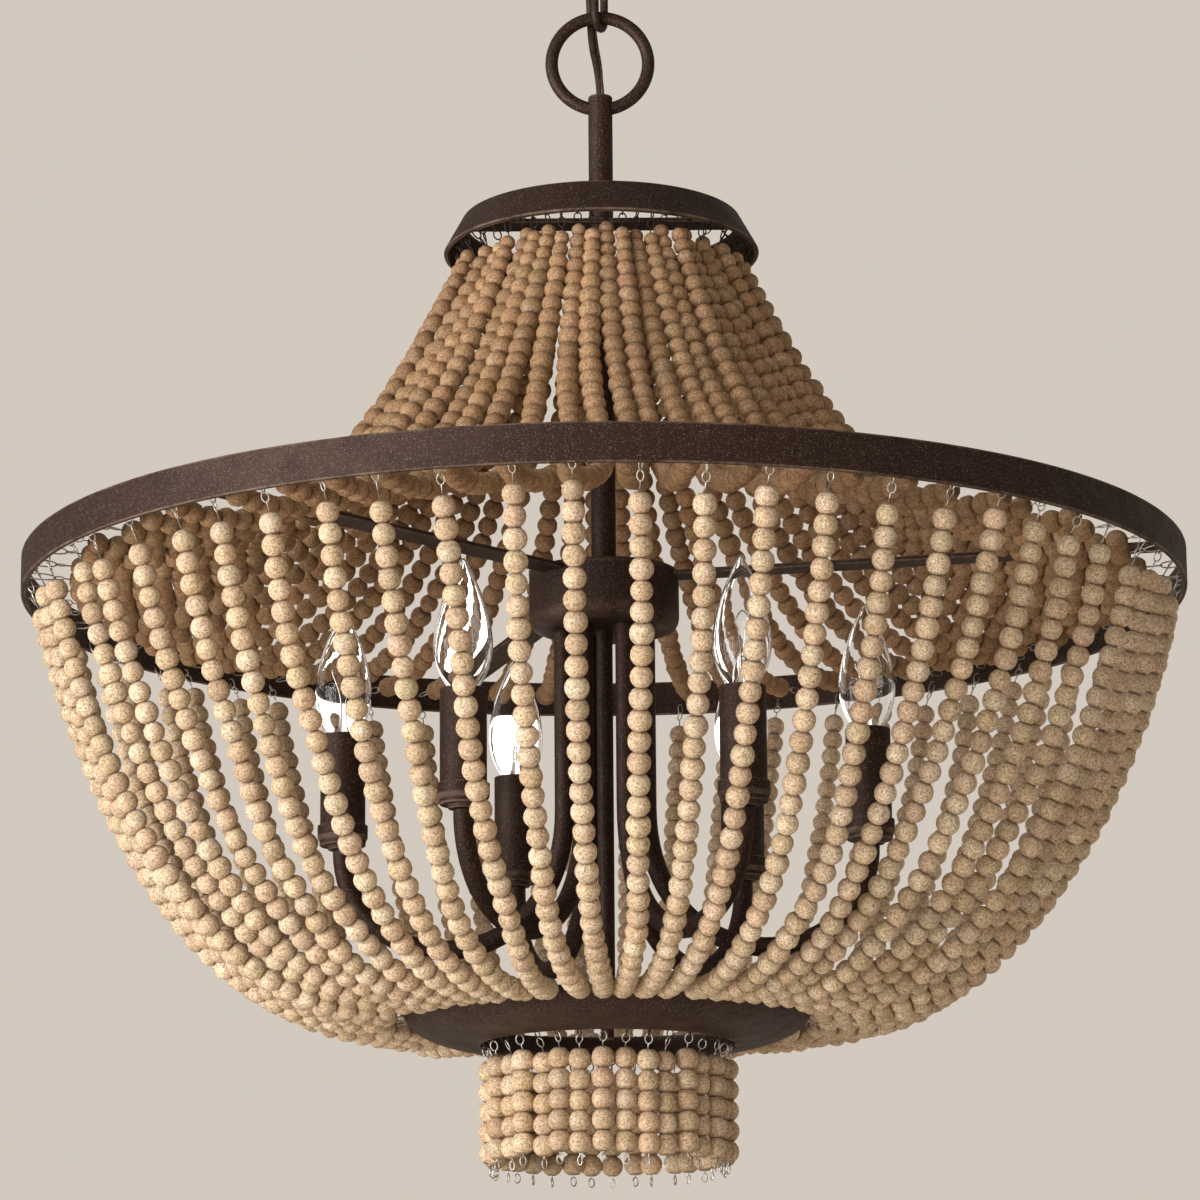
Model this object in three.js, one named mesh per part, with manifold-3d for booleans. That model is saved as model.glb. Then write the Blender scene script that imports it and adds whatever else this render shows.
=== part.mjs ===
// Beaded chandelier: a dark bronze frame with six candle lights inside a basket of wooden beads.
// Millimetres, +Z up. Every height below is measured from the top edge of the big hoop.
// The finished group is lowered so that the ceiling is the plane z = 0.

import * as THREE from 'three';
import { mergeVertices } from 'three/addons/utils/BufferGeometryUtils.js';
import Module from 'manifold-3d';

// Driving dimensions
const seatGap = 0.3;
const cutOverrun = 1;
const mergeReach = 1e-4;

const hoop = { radius: 355.6, height: 22.8, wall: 3.2, segments: 64 };
const topBand = { topRadius: 86.5, bottomRadius: 98.5, height: 21.7, bottomZ: 200.3, wall: 3, segments: 40 };
const dish = {
  rimRadius: 123, holeRadius: 76.6, rimZ: -274, height: 20.5, wall: 1.6, steps: 4, segments: 32,
};
const hub = { radius: 46, topZ: -2.5, height: 37.3, topEdge: 2, bottomEdge: 7, edgeSteps: 2, segments: 32 };
const stem = { radius: 7.6, topZ: 304, bore: 2.8, segments: 16 };
const rod = { radius: 5, threadRadius: 4, tailBelowBar: 14, segments: 14 };
const nut = { acrossCorners: 13, height: 6, sides: 6 };
const flatBar = { width: 19, thickness: 3, arcSteps: 2 };
const spoke = { count: 3, firstAngle: -13, topZ: -5.5 };

const hangingLoop = { outerDiameter: 68.8, bar: 8, riseAboveStem: 22, sides: 8, segments: 32 };
const link = { wire: 5, innerLength: 30, innerWidth: 12, sides: 6, segments: 16, count: 2, twist: 20 };
const canopyLoop = { outerDiameter: 40, wire: 5, collarRadius: 8, mouthBelowTop: 4.5, nippleRadius: 5 };
const canopy = { radius: 63.5, height: 26, wall: 1.5, flatRadius: 22, steps: 4, segments: 24 };
const strap = { length: 104, width: 22, thickness: 2.5, holeInset: 7.55, holeRadius: 2.5 };
const cord = { diameter: 5, sides: 8, steps: 14 };
// The cord's route, placed by hand: up from the stem, behind the loop's bar and the chain, into the collar
const cordRoute = [
  [0, 0, 296], [0, 0, 308], [-1.4, 2, 322], [-4.2, 5.8, 338], [-5.4, 7.6, 352], [-6, 7.4, 368],
  [-6.2, 6.8, 386], [-6.5, 6.4, 404], [-5.6, 5.6, 417], [-2.2, 2.2, 427], [0, 0, 435], [0, 0, 445],
];

const candle = { count: 6, circleRadius: 160, firstAngle: 57 };
// Each arm stands a few degrees off its even place
const armTurns = [0, -6, 2, 2, 3, 1];
const arm = {
  radius: 6, hubCircle: 25, straightDrop: 110.2, innerPull: 112, outerPull: 84, sides: 8, steps: 12,
};
const cup = { bottomZ: -174, height: 15, radius: 15.25, footRadius: 9, footHeight: 6, floor: 2.3 };
const sleeve = { radius: 13.75, wall: 1.5, topZ: -103, segments: 14 };
const socket = { radius: 10, belowSleeveTop: 4, boreLength: 20, segments: 10 };
const bulb = { radius: 17.5, length: 80, baseRadius: 6.2, baseLength: 22, neckRadius: 7, segments: 10 };

const bead = { diameter: 14, pitch: 12.5, halfWidth: 6.2, halfThickness: 5.6 };
const wire = { halfWidth: 0.5 };
const bowl = {
  count: 60, groups: 3, hoopHoleBelowTop: 17, startInset: 8.4, startBelowHoop: 7.2, endBelowRim: 3,
};
const crown = {
  count: 60, groups: 3, besideSpokeAngle: 4, startInset: 14.2, startBelowBand: 8.3, firstHalfThickness: 4.5,
  bandHoleAboveEdge: 4, endInset: 21.4, endBelowHoopTop: 13.5,
  hoopHoleBelowTop: 12.5,
};
const fringe = {
  count: 34, beads: 5, firstAngle: -92, circleRadius: 70.3, wireDrop: 9.5, tailLength: 5.5,
  neckThickness: 3.4,
};

// Where each ring of a strand sits, as shares of its beaded length
const bowlRingShares = [0, 0.2, 0.4, 0.6, 0.8, 0.985, 1];
const crownRingShares = [0, 0.12, 0.25, 0.43, 0.62, 0.81, 1];
// How far the bowl's strand is pulled in and down at the two pull points of its curve
const bowlPullShares = [[0.093, 0.364], [0.437, 1.09]];
// How strongly the crown's chain curls, and where its lowest place lies before the hoop
const crownSagShares = { curl: 1.78, lowest: 0.1 };
// The torpedo bulb's outline, as shares of its radius and length
const bulbOutlineShares = [[0.72, 0.1], [0.97, 0.24], [0.97, 0.38], [0.72, 0.62], [0.4, 0.82], [0.16, 0.95]];

// Materials
function paint(color, roughness, metalness) {
  return new THREE.MeshStandardMaterial({ color, roughness, metalness });
}
const bronze = paint(0x3a2d28, 0.55, 0.8);
const beadWood = paint(0xcdb38c, 0.75, 0);
const cordCover = paint(0x241c18, 0.6, 0);
const socketPlastic = paint(0xe8e2d0, 0.5, 0);
const bulbGlass = paint(0xf3f1ec, 0.08, 0);
const zincSteel = paint(0xb9b9b4, 0.4, 0.9);

// The solids
const wasm = await Module();
wasm.setup();

/** Merges shared corners, drops flat triangles and turns the faces outward. */
function closed(geometry) {
  geometry.deleteAttribute('normal');
  geometry.deleteAttribute('uv');
  const merged = mergeVertices(geometry.index ? geometry.toNonIndexed() : geometry, mergeReach);
  const corner = merged.getAttribute('position');
  const index = merged.getIndex().array;
  const kept = [];
  let volume = 0;
  const [a, b, c] = [new THREE.Vector3(), new THREE.Vector3(), new THREE.Vector3()];
  for (let i = 0; i < index.length; i += 3) {
    const [ia, ib, ic] = [index[i], index[i + 1], index[i + 2]];
    if (ia === ib || ib === ic || ic === ia) continue;
    kept.push([ia, ib, ic]);
    a.fromBufferAttribute(corner, ia);
    b.fromBufferAttribute(corner, ib);
    c.fromBufferAttribute(corner, ic);
    volume += a.dot(b.cross(c));
  }
  const order = volume < 0 ? kept.map(([ia, ib, ic]) => [ia, ic, ib]) : kept;
  merged.setIndex(order.flat());
  return merged;
}

function toManifold(geometry) {
  const mesh = closed(geometry);
  const vertProperties = new Float32Array(mesh.getAttribute('position').array);
  const triVerts = new Uint32Array(mesh.getIndex().array);
  return new wasm.Manifold(new wasm.Mesh({ numProp: 3, vertProperties, triVerts }));
}

function fromManifold(manifold) {
  const { vertProperties, triVerts } = manifold.getMesh();
  const geometry = new THREE.BufferGeometry();
  geometry.setAttribute('position', new THREE.Float32BufferAttribute(vertProperties, 3));
  geometry.setIndex(Array.from(triVerts));
  return geometry;
}

/** Turns a profile of [radius, z] points round the Z axis. */
function turned(profile, segments) {
  const points = profile.map(([radius, z]) => new THREE.Vector2(radius, z));
  return closed(new THREE.LatheGeometry(points, segments).rotateX(Math.PI / 2));
}

/** A turned ring whose profile closes on itself. */
function turnedRing(profile, segments) {
  return turned([...profile, profile[0]], segments);
}

function cylinder(radius, bottomZ, topZ, segments) {
  return turned([[0, bottomZ], [radius, bottomZ], [radius, topZ], [0, topZ]], segments);
}

/** The radius of a faceted hole whose flats clear a round piece of this radius. */
function clearHole(radius, sides) {
  return (radius + seatGap) / Math.cos(Math.PI / sides);
}

/** The reach of a piece that seats inside a faceted ring, clear of its flats. */
function insideRing(radius, sides) {
  return radius * Math.cos(Math.PI / sides) - seatGap;
}

/** Points of a quarter of an ellipse, from its wide side (share 0) to its end (share 1). */
function quarterEllipse(centre, reach, steps) {
  const points = [];
  for (let i = 0; i <= steps; i += 1) {
    const angle = (i / steps) * (Math.PI / 2);
    points.push([centre[0] + reach[0] * Math.cos(angle), centre[1] + reach[1] * Math.sin(angle)]);
  }
  return points;
}

/** A flat bar between two circles round the axis, its ends shaped to them. */
function barBetween(innerRadius, outerRadius, width, thickness, topZ) {
  const halfWidth = width / 2;
  const shape = new THREE.Shape();
  const outerAngle = Math.asin(halfWidth / outerRadius);
  const innerAngle = Math.asin(halfWidth / innerRadius);
  shape.absarc(0, 0, outerRadius, -outerAngle, outerAngle, false);
  shape.absarc(0, 0, innerRadius, innerAngle, -innerAngle, true);
  const options = { depth: thickness, bevelEnabled: false, curveSegments: flatBar.arcSteps };
  return closed(new THREE.ExtrudeGeometry(shape, options).translate(0, 0, topZ - thickness));
}

/** A flat bar right across a circle, with a hole at its centre that clears a round piece. */
function barAcross(radius, width, thickness, topZ, pieceRadius) {
  const holeRadius = clearHole(pieceRadius, 4 * flatBar.arcSteps);
  const angle = Math.asin(width / 2 / radius);
  const shape = new THREE.Shape();
  shape.absarc(0, 0, radius, -angle, angle, false);
  shape.absarc(0, 0, radius, Math.PI - angle, Math.PI + angle, false);
  const hole = new THREE.Path();
  hole.absarc(0, 0, holeRadius, 0, 2 * Math.PI, true);
  shape.holes.push(hole);
  const options = { depth: thickness, bevelEnabled: false, curveSegments: 2 * flatBar.arcSteps };
  return closed(new THREE.ExtrudeGeometry(shape, options).translate(0, 0, topZ - thickness));
}

/** A round bar along a path. */
function roundBar(path, radius, sides, steps) {
  const section = new THREE.Shape();
  section.absarc(0, 0, radius, 0, 2 * Math.PI, false);
  const options = { extrudePath: path, steps, bevelEnabled: false, curveSegments: sides / 2 };
  return closed(new THREE.ExtrudeGeometry(section, options));
}

/** A chain link lying in the XZ plane: a ring parted at its waist by straight sides. */
function chainLink() {
  const bend = (link.innerWidth + link.wire) / 2;
  const straight = link.innerLength - link.innerWidth;
  const ring = new THREE.TorusGeometry(bend, link.wire / 2, link.sides, link.segments);
  ring.rotateZ(Math.PI / link.segments);
  const corner = ring.getAttribute('position');
  for (let i = 0; i < corner.count; i += 1) {
    corner.setY(i, corner.getY(i) + Math.sign(corner.getY(i)) * straight / 2);
  }
  return closed(ring.rotateX(Math.PI / 2));
}

// Heights that follow from the driving dimensions
const hoopInnerRadius = hoop.radius - hoop.wall;
const hoopReach = insideRing(hoopInnerRadius, hoop.segments);
const hubBottomZ = hub.topZ - hub.height;
const topBandTopZ = topBand.bottomZ + topBand.height;
const bandFlare = topBand.bottomRadius - topBand.topRadius;
const bandSlant = Math.hypot(bandFlare, topBand.height);
const bandInset = (topBand.wall * topBand.height) / bandSlant;
const bandDrop = (topBand.wall * bandFlare) / bandSlant;
const dishBarTopZ = dish.rimZ;
const dishHoleZ = dish.rimZ - dish.height;
const rodBottomZ = dishBarTopZ - flatBar.thickness - rod.tailBelowBar;

const loopRadius = (hangingLoop.outerDiameter - hangingLoop.bar) / 2;
const loopCentreZ = stem.topZ + hangingLoop.riseAboveStem;
const loopBarTopZ = loopCentreZ + loopRadius;
const linkPitch = link.innerLength - seatGap;
const firstLinkZ = loopBarTopZ - hangingLoop.bar / 2 - seatGap + link.innerLength / 2;
const lastLinkRoomTopZ = firstLinkZ + (link.count - 1) * linkPitch + link.innerLength / 2;
const canopyRingRadius = (canopyLoop.outerDiameter - canopyLoop.wire) / 2;
const canopyRingBottomZ = lastLinkRoomTopZ - seatGap - canopyLoop.wire / 2;
const canopyRingZ = canopyRingBottomZ + canopyRingRadius;
const canopyMouthZ = canopyRingZ + canopyRingRadius - canopyLoop.wire / 2 - canopyLoop.mouthBelowTop;
const canopyBottomZ = canopyRingZ + canopyRingRadius + canopyLoop.wire;
const ceilingZ = canopyBottomZ + canopy.height;

const chandelier = new THREE.Group();
chandelier.position.z = -ceilingZ;

function addPart(name, geometry, material, turnDegrees = 0) {
  const mesh = new THREE.Mesh(geometry, material.clone());
  mesh.name = name;
  mesh.rotation.z = THREE.MathUtils.degToRad(turnDegrees);
  chandelier.add(mesh);
}

// Ceiling fitting: strap against the ceiling, spun canopy, and the loop whose collar holds it up
function ceilingStrap() {
  const [halfLength, halfWidth] = [strap.length / 2, strap.width / 2];
  const corners = [[-1, -1], [1, -1], [1, 1], [-1, 1]];
  const shape = new THREE.Shape(corners.map(([x, y]) => new THREE.Vector2(x * halfLength, y * halfWidth)));
  for (const side of [-1, 1]) {
    const hole = new THREE.Path();
    hole.absarc(side * (halfLength - strap.holeInset), 0, strap.holeRadius, 0, 2 * Math.PI, true);
    shape.holes.push(hole);
  }
  const options = { depth: strap.thickness, bevelEnabled: false, curveSegments: stem.segments / 4 };
  return closed(new THREE.ExtrudeGeometry(shape, options).translate(0, 0, ceilingZ - strap.thickness));
}

function canopyShell() {
  const holeRadius = clearHole(canopyLoop.nippleRadius, canopy.segments);
  const reach = canopy.radius - canopy.flatRadius;
  const outer = quarterEllipse([canopy.flatRadius, ceilingZ], [reach, -canopy.height], canopy.steps);
  const innerReach = [reach - canopy.wall, canopy.wall - canopy.height];
  const inner = quarterEllipse([canopy.flatRadius, ceilingZ], innerReach, canopy.steps).reverse();
  const hole = [[holeRadius, canopyBottomZ], [holeRadius, canopyBottomZ + canopy.wall]];
  return turnedRing([...outer, ...hole, ...inner], canopy.segments);
}

function canopyRing() {
  const ring = new THREE.TorusGeometry(canopyRingRadius, canopyLoop.wire / 2, link.sides, 2 * link.segments);
  ring.rotateY(Math.PI / 2).rotateX(Math.PI / (2 * link.segments)).translate(0, 0, canopyRingZ);
  const shoulderZ = canopyBottomZ - seatGap;
  const nippleTopZ = ceilingZ - strap.thickness - seatGap;
  const collar = turned([
    [0, canopyMouthZ], [canopyLoop.collarRadius, canopyMouthZ], [canopyLoop.collarRadius, shoulderZ],
    [canopyLoop.nippleRadius, shoulderZ], [canopyLoop.nippleRadius, nippleTopZ], [0, nippleTopZ],
  ], stem.segments);
  const bore = cylinder(stem.bore, canopyMouthZ - cutOverrun, nippleTopZ + cutOverrun, cord.sides);
  return fromManifold(toManifold(ring).add(toManifold(collar)).subtract(toManifold(bore)));
}

addPart('ceiling_strap', ceilingStrap(), zincSteel);
addPart('canopy', canopyShell(), bronze);
addPart('canopy_loop', canopyRing(), bronze);

// Chain: the lowest link stands edge-on and a little twisted, the next one faces front
for (let i = 0; i < link.count; i += 1) {
  const geometry = chainLink().translate(0, 0, firstLinkZ + i * linkPitch);
  addPart(`chain_link_${i + 1}`, geometry, bronze, i % 2 === 0 ? 90 - link.twist : 0);
}

// Hanging loop, welded to both sides of the stem's top
function hangingRing() {
  const { bar, sides, segments } = hangingLoop;
  const ring = new THREE.TorusGeometry(loopRadius, bar / 2, sides, segments);
  ring.rotateX(Math.PI / 2).translate(0, 0, loopCentreZ);
  const reach = bar + cutOverrun;
  const stemRoom = cylinder(stem.radius + seatGap, stem.topZ - 2 * reach, stem.topZ + reach, stem.segments);
  return fromManifold(toManifold(ring).subtract(toManifold(stemRoom)));
}

function stemTube() {
  const bottomZ = hub.topZ + seatGap;
  return turnedRing([
    [stem.bore, bottomZ], [stem.radius, bottomZ], [stem.radius, stem.topZ], [stem.bore, stem.topZ],
  ], stem.segments);
}

addPart('hanging_loop', hangingRing(), bronze);
addPart('stem', stemTube(), bronze);

// Supply cord: one smooth bend from the stem's mouth to the canopy's collar
const cordPath = new THREE.CatmullRomCurve3(cordRoute.map(([x, y, z]) => new THREE.Vector3(x, y, z)));
addPart('supply_cord', roundBar(cordPath, cord.diameter / 2, cord.sides, cord.steps), cordCover);

// Top band, a cone that flares downward with its edges cut square, and the flat bar across it for the stem
function topBandCone() {
  return turnedRing([
    [topBand.bottomRadius, topBand.bottomZ],
    [topBand.topRadius, topBandTopZ],
    [topBand.topRadius - bandInset, topBandTopZ - bandDrop],
    [topBand.bottomRadius - bandInset, topBand.bottomZ - bandDrop],
  ], topBand.segments);
}

const topBarReach = insideRing(topBand.topRadius - bandInset, topBand.segments);
addPart('top_band', topBandCone(), bronze);
addPart(
  'top_crossbar',
  barAcross(topBarReach, flatBar.width, flatBar.thickness, topBandTopZ, stem.radius),
  bronze,
);

// Hoop, hub and the three flat spokes between them
function hoopBand() {
  return turnedRing([
    [hoopInnerRadius, -hoop.height], [hoop.radius, -hoop.height], [hoop.radius, 0], [hoopInnerRadius, 0],
  ], hoop.segments);
}

function hubCanister() {
  const bottomCorner = [hub.radius - hub.bottomEdge, hubBottomZ + hub.bottomEdge];
  const topCorner = [hub.radius - hub.topEdge, hub.topZ - hub.topEdge];
  const bottomEdge = quarterEllipse(bottomCorner, [hub.bottomEdge, -hub.bottomEdge], hub.edgeSteps).reverse();
  const topEdge = quarterEllipse(topCorner, [hub.topEdge, hub.topEdge], hub.edgeSteps / 2);
  return turned([[0, hubBottomZ], ...bottomEdge, ...topEdge, [0, hub.topZ]], hub.segments);
}

addPart('hoop', hoopBand(), bronze);
addPart('hub', hubCanister(), bronze);
for (let i = 0; i < spoke.count; i += 1) {
  const bar = barBetween(
    hub.radius + seatGap, hoopReach, flatBar.width, flatBar.thickness, spoke.topZ,
  );
  addPart(`spoke_${i + 1}`, bar, bronze, spoke.firstAngle + (i * 360) / spoke.count);
}

// Centre rod down to the dish, its crossbar and the nut below it
function centreRod() {
  const shoulderZ = dishBarTopZ + seatGap;
  const topZ = hubBottomZ - seatGap;
  return turned([
    [0, rodBottomZ], [rod.threadRadius, rodBottomZ], [rod.threadRadius, shoulderZ],
    [rod.radius, shoulderZ], [rod.radius, topZ], [0, topZ],
  ], rod.segments);
}

function rodNut() {
  const topZ = dishBarTopZ - flatBar.thickness - seatGap;
  const bottomZ = topZ - nut.height;
  const inner = clearHole(rod.threadRadius, rod.segments);
  const outer = nut.acrossCorners / 2;
  const body = cylinder(outer, bottomZ, topZ, nut.sides);
  const bore = cylinder(inner, bottomZ - cutOverrun, topZ + cutOverrun, rod.segments);
  return fromManifold(toManifold(body).subtract(toManifold(bore)));
}

function dishShell() {
  const centre = [dish.holeRadius, dish.rimZ];
  const reach = dish.rimRadius - dish.holeRadius;
  const outer = quarterEllipse(centre, [reach, -dish.height], dish.steps);
  const inner = quarterEllipse(centre, [reach - dish.wall, dish.wall - dish.height], dish.steps).reverse();
  return turnedRing([...outer, ...inner], dish.segments);
}

const dishBarReach = insideRing(dish.rimRadius - dish.wall, dish.segments);
addPart('centre_rod', centreRod(), bronze);
addPart('rod_nut', rodNut(), bronze);
addPart('dish', dishShell(), bronze);

/** The bar's ends follow the dish's curved inner wall, which they are welded to. */
function dishCrossbar() {
  const bar = barAcross(dishBarReach, flatBar.width, flatBar.thickness, dishBarTopZ, rod.threadRadius);
  const wall = dish.wall + 2 * seatGap;
  const reach = [dish.rimRadius - dish.holeRadius - wall, wall - dish.height];
  const room = quarterEllipse([dish.holeRadius, dish.rimZ], reach, dish.steps).reverse();
  const bottomZ = dish.rimZ - dish.height + wall;
  const top = [[dish.rimRadius - wall, dish.rimZ + cutOverrun], [0, dish.rimZ + cutOverrun]];
  const bowlRoom = turned([[0, bottomZ], [dish.holeRadius, bottomZ], ...room, ...top], dish.segments);
  return fromManifold(toManifold(bar).intersect(toManifold(bowlRoom)));
}
addPart('dish_crossbar', dishCrossbar(), bronze);

// Six candle lights: arm, cup, sleeve, socket and bulb, built at the angle 0 and turned into place
function armTube() {
  const startZ = hubBottomZ - seatGap;
  const bendZ = startZ - arm.straightDrop;
  const endZ = cup.bottomZ - seatGap;
  const at = (x, z) => new THREE.Vector3(x, 0, z);
  const path = new THREE.CurvePath();
  path.add(new THREE.LineCurve3(at(arm.hubCircle, startZ), at(arm.hubCircle, bendZ)));
  path.add(new THREE.CubicBezierCurve3(
    at(arm.hubCircle, bendZ), at(arm.hubCircle, bendZ - arm.innerPull),
    at(candle.circleRadius, endZ - arm.outerPull), at(candle.circleRadius, endZ),
  ));
  return roundBar(path, arm.radius, arm.sides, arm.steps);
}

const cupFloorZ = cup.bottomZ + cup.floor;

function candleCup() {
  const topZ = cup.bottomZ + cup.height;
  const inner = sleeve.radius + seatGap;
  return turned([
    [0, cup.bottomZ], [cup.footRadius, cup.bottomZ], [cup.radius, cup.bottomZ + cup.footHeight],
    [cup.radius, topZ], [inner, topZ], [inner, cupFloorZ], [0, cupFloorZ],
  ], sleeve.segments);
}

function candleSleeve() {
  const bottomZ = cupFloorZ + seatGap;
  const inner = sleeve.radius - sleeve.wall;
  return turnedRing([
    [inner, bottomZ], [sleeve.radius, bottomZ], [sleeve.radius, sleeve.topZ], [inner, sleeve.topZ],
  ], sleeve.segments);
}

const socketTopZ = sleeve.topZ - socket.belowSleeveTop;
const socketBoreZ = socketTopZ - socket.boreLength;

function lampSocket() {
  const bottomZ = cupFloorZ + seatGap;
  const bore = clearHole(bulb.baseRadius, socket.segments);
  return turned([
    [0, bottomZ], [socket.radius, bottomZ], [socket.radius, socketTopZ],
    [bore, socketTopZ], [bore, socketBoreZ], [0, socketBoreZ],
  ], socket.segments);
}

function torpedoBulb() {
  const seatZ = socketBoreZ + seatGap;
  const glassZ = seatZ + bulb.baseLength;
  const glass = bulbOutlineShares.map(([across, along]) => [
    across * bulb.radius, glassZ + along * bulb.length,
  ]);
  return turned([
    [0, seatZ], [bulb.baseRadius, seatZ], [bulb.baseRadius, glassZ], [bulb.neckRadius, glassZ],
    ...glass, [0, glassZ + bulb.length],
  ], bulb.segments);
}

function addOnCandle(name, geometry, material, angle) {
  const placed = geometry.translate(candle.circleRadius, 0, 0);
  addPart(name, placed, material, angle);
}

for (let i = 0; i < candle.count; i += 1) {
  const angle = candle.firstAngle + (i * 360) / candle.count + armTurns[i];
  addPart(`arm_${i + 1}`, armTube(), bronze, angle);
  addOnCandle(`cup_${i + 1}`, candleCup(), bronze, angle);
  addOnCandle(`candle_sleeve_${i + 1}`, candleSleeve(), bronze, angle);
  addOnCandle(`socket_${i + 1}`, lampSocket(), socketPlastic, angle);
  addOnCandle(`bulb_${i + 1}`, torpedoBulb(), bulbGlass, angle);
}

// Bead strands. A strand is a four-sided tube that narrows to its wire at both ends.
// Where strands crowd together their beads touch, and the tubes share the wall between them.

/**
 * Joins neighbouring strands into one body.
 * rings: { radius, z, normal: [r, z], halfWidth, halfDepth, crowded } from one end to the other.
 * A crowded ring with an edgeDepth bulges: its edges stand out less than its middle does.
 * angles: where the strands stand, in radians, in order; closedRing: the last one meets the first.
 */
function strandGroup(rings, angles, closedRing = false) {
  const positions = [];
  const faces = [];
  const last = angles.length - 1;
  const halfPitch = closedRing ? Math.PI / angles.length : (angles[1] - angles[0]) / 2;

  function vertex(ring, depth, angle, aside) {
    const radius = ring.radius + depth * ring.normal[0];
    const x = radius * Math.cos(angle) - aside * Math.sin(angle);
    const y = radius * Math.sin(angle) + aside * Math.cos(angle);
    positions.push(x, y, ring.z + depth * ring.normal[1]);
    return positions.length / 3 - 1;
  }

  function edgePair(ring, angle, aside) {
    const depth = ring.edgeDepth ?? ring.halfDepth;
    return { outer: vertex(ring, depth, angle, aside), inner: vertex(ring, -depth, angle, aside) };
  }

  const sections = rings.map((ring) => {
    const row = angles.map((angle) => ({ angle }));
    row.forEach((section, j) => {
      if (!ring.crowded) {
        section.left = edgePair(ring, section.angle, -ring.halfWidth);
        section.right = edgePair(ring, section.angle, ring.halfWidth);
        return;
      }
      const edgeInset = closedRing ? 0 : seatGap / 2;
      const shared = j > 0 ? row[j - 1].right : null;
      section.left = shared ?? edgePair(ring, section.angle - halfPitch, edgeInset);
      if (closedRing && j === last) section.right = row[0].left;
      else section.right = edgePair(ring, section.angle + halfPitch, j === last ? -edgeInset : 0);
    });
    row.forEach((section) => {
      if (ring.edgeDepth === undefined) return;
      section.outerCrest = vertex(ring, ring.halfDepth, section.angle, 0);
      section.innerCrest = vertex(ring, -ring.halfDepth, section.angle, 0);
    });
    return row;
  });

  function quad(a, b, c, d) {
    faces.push(a, b, c, a, c, d);
  }

  /** Fills between two rows of corners, also where only one of them has a crest. */
  function strip(low, high) {
    const steps = Math.max(low.length, high.length);
    if (low.length === high.length) {
      for (let k = 0; k + 1 < steps; k += 1) quad(low[k], low[k + 1], high[k + 1], high[k]);
    } else if (low.length > high.length) {
      faces.push(low[0], low[1], high[0], high[0], low[1], high[1], low[1], low[2], high[1]);
    } else {
      faces.push(low[0], high[1], high[0], low[0], low[1], high[1], low[1], high[2], high[1]);
    }
  }

  const outerRow = ({ left, right, outerCrest }) => (
    [left.outer, outerCrest, right.outer].filter((corner) => corner !== undefined)
  );
  const innerRow = ({ left, right, innerCrest }) => (
    [right.inner, innerCrest, left.inner].filter((corner) => corner !== undefined)
  );

  for (let i = 0; i + 1 < rings.length; i += 1) {
    const walled = !(rings[i].crowded && rings[i + 1].crowded);
    for (let j = 0; j <= last; j += 1) {
      const [here, next] = [sections[i][j], sections[i + 1][j]];
      strip(outerRow(here), outerRow(next));
      strip(innerRow(here), innerRow(next));
      if (walled || (j === 0 && !closedRing)) {
        quad(here.left.inner, here.left.outer, next.left.outer, next.left.inner);
      }
      if (walled || (j === last && !closedRing)) {
        quad(here.right.outer, here.right.inner, next.right.inner, next.right.outer);
      }
    }
  }

  function cap(section, flip) {
    const around = [...outerRow(section), ...innerRow(section)];
    for (let k = 1; k + 1 < around.length; k += 1) {
      const [a, b, c] = [around[0], around[k], around[k + 1]];
      faces.push(...(flip ? [a, c, b] : [a, b, c]));
    }
  }
  sections[0].forEach((section) => cap(section, true));
  sections[rings.length - 1].forEach((section) => cap(section, false));

  const geometry = new THREE.BufferGeometry();
  geometry.setAttribute('position', new THREE.Float32BufferAttribute(positions, 3));
  geometry.setIndex(faces);
  return closed(geometry);
}

/** Rings of beads along a curve of [radius, z] points, crowded where neighbours' beads touch. */
function beadRings(curve, ringShares, pitchAngle, depthAt) {
  return ringShares.map((share) => {
    const point = curve.getPointAt(share);
    const along = curve.getTangentAt(share);
    return {
      radius: point.x,
      z: point.y,
      normal: [-along.y, along.x],
      halfWidth: bead.halfWidth,
      halfDepth: depthAt(share),
      crowded: (point.x * pitchAngle) / 2 < bead.diameter / 2,
    };
  });
}

/** The small ring at the end of a strand's wire, square to the wire's direction of travel. */
function wireRing([radius, z], [alongRadius, alongZ]) {
  const length = Math.hypot(alongRadius, alongZ);
  const normal = [-alongZ / length, alongRadius / length];
  return { radius, z, normal, halfWidth: wire.halfWidth, halfDepth: wire.halfWidth, crowded: false };
}

function strandAngles(firstDegrees, pitchDegrees, count) {
  const degrees = Array.from({ length: count }, (_, j) => firstDegrees + j * pitchDegrees);
  return degrees.map(THREE.MathUtils.degToRad);
}

// Bowl strands: from the hoop's inner face, down and in under the lights, to the dish's rim
const bowlStart = new THREE.Vector2(hoopInnerRadius - bowl.startInset, -hoop.height - bowl.startBelowHoop);
const bowlEnd = new THREE.Vector2(dish.rimRadius + bead.pitch / 2, dish.rimZ - bowl.endBelowRim);

function bowlCurve() {
  const [upperPull, lowerPull] = bowlPullShares.map(([across, down]) => new THREE.Vector2(
    THREE.MathUtils.lerp(bowlStart.x, bowlEnd.x, across),
    THREE.MathUtils.lerp(bowlStart.y, bowlEnd.y, down),
  ));
  return new THREE.CubicBezierCurve(bowlStart, upperPull, lowerPull, bowlEnd);
}

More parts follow.
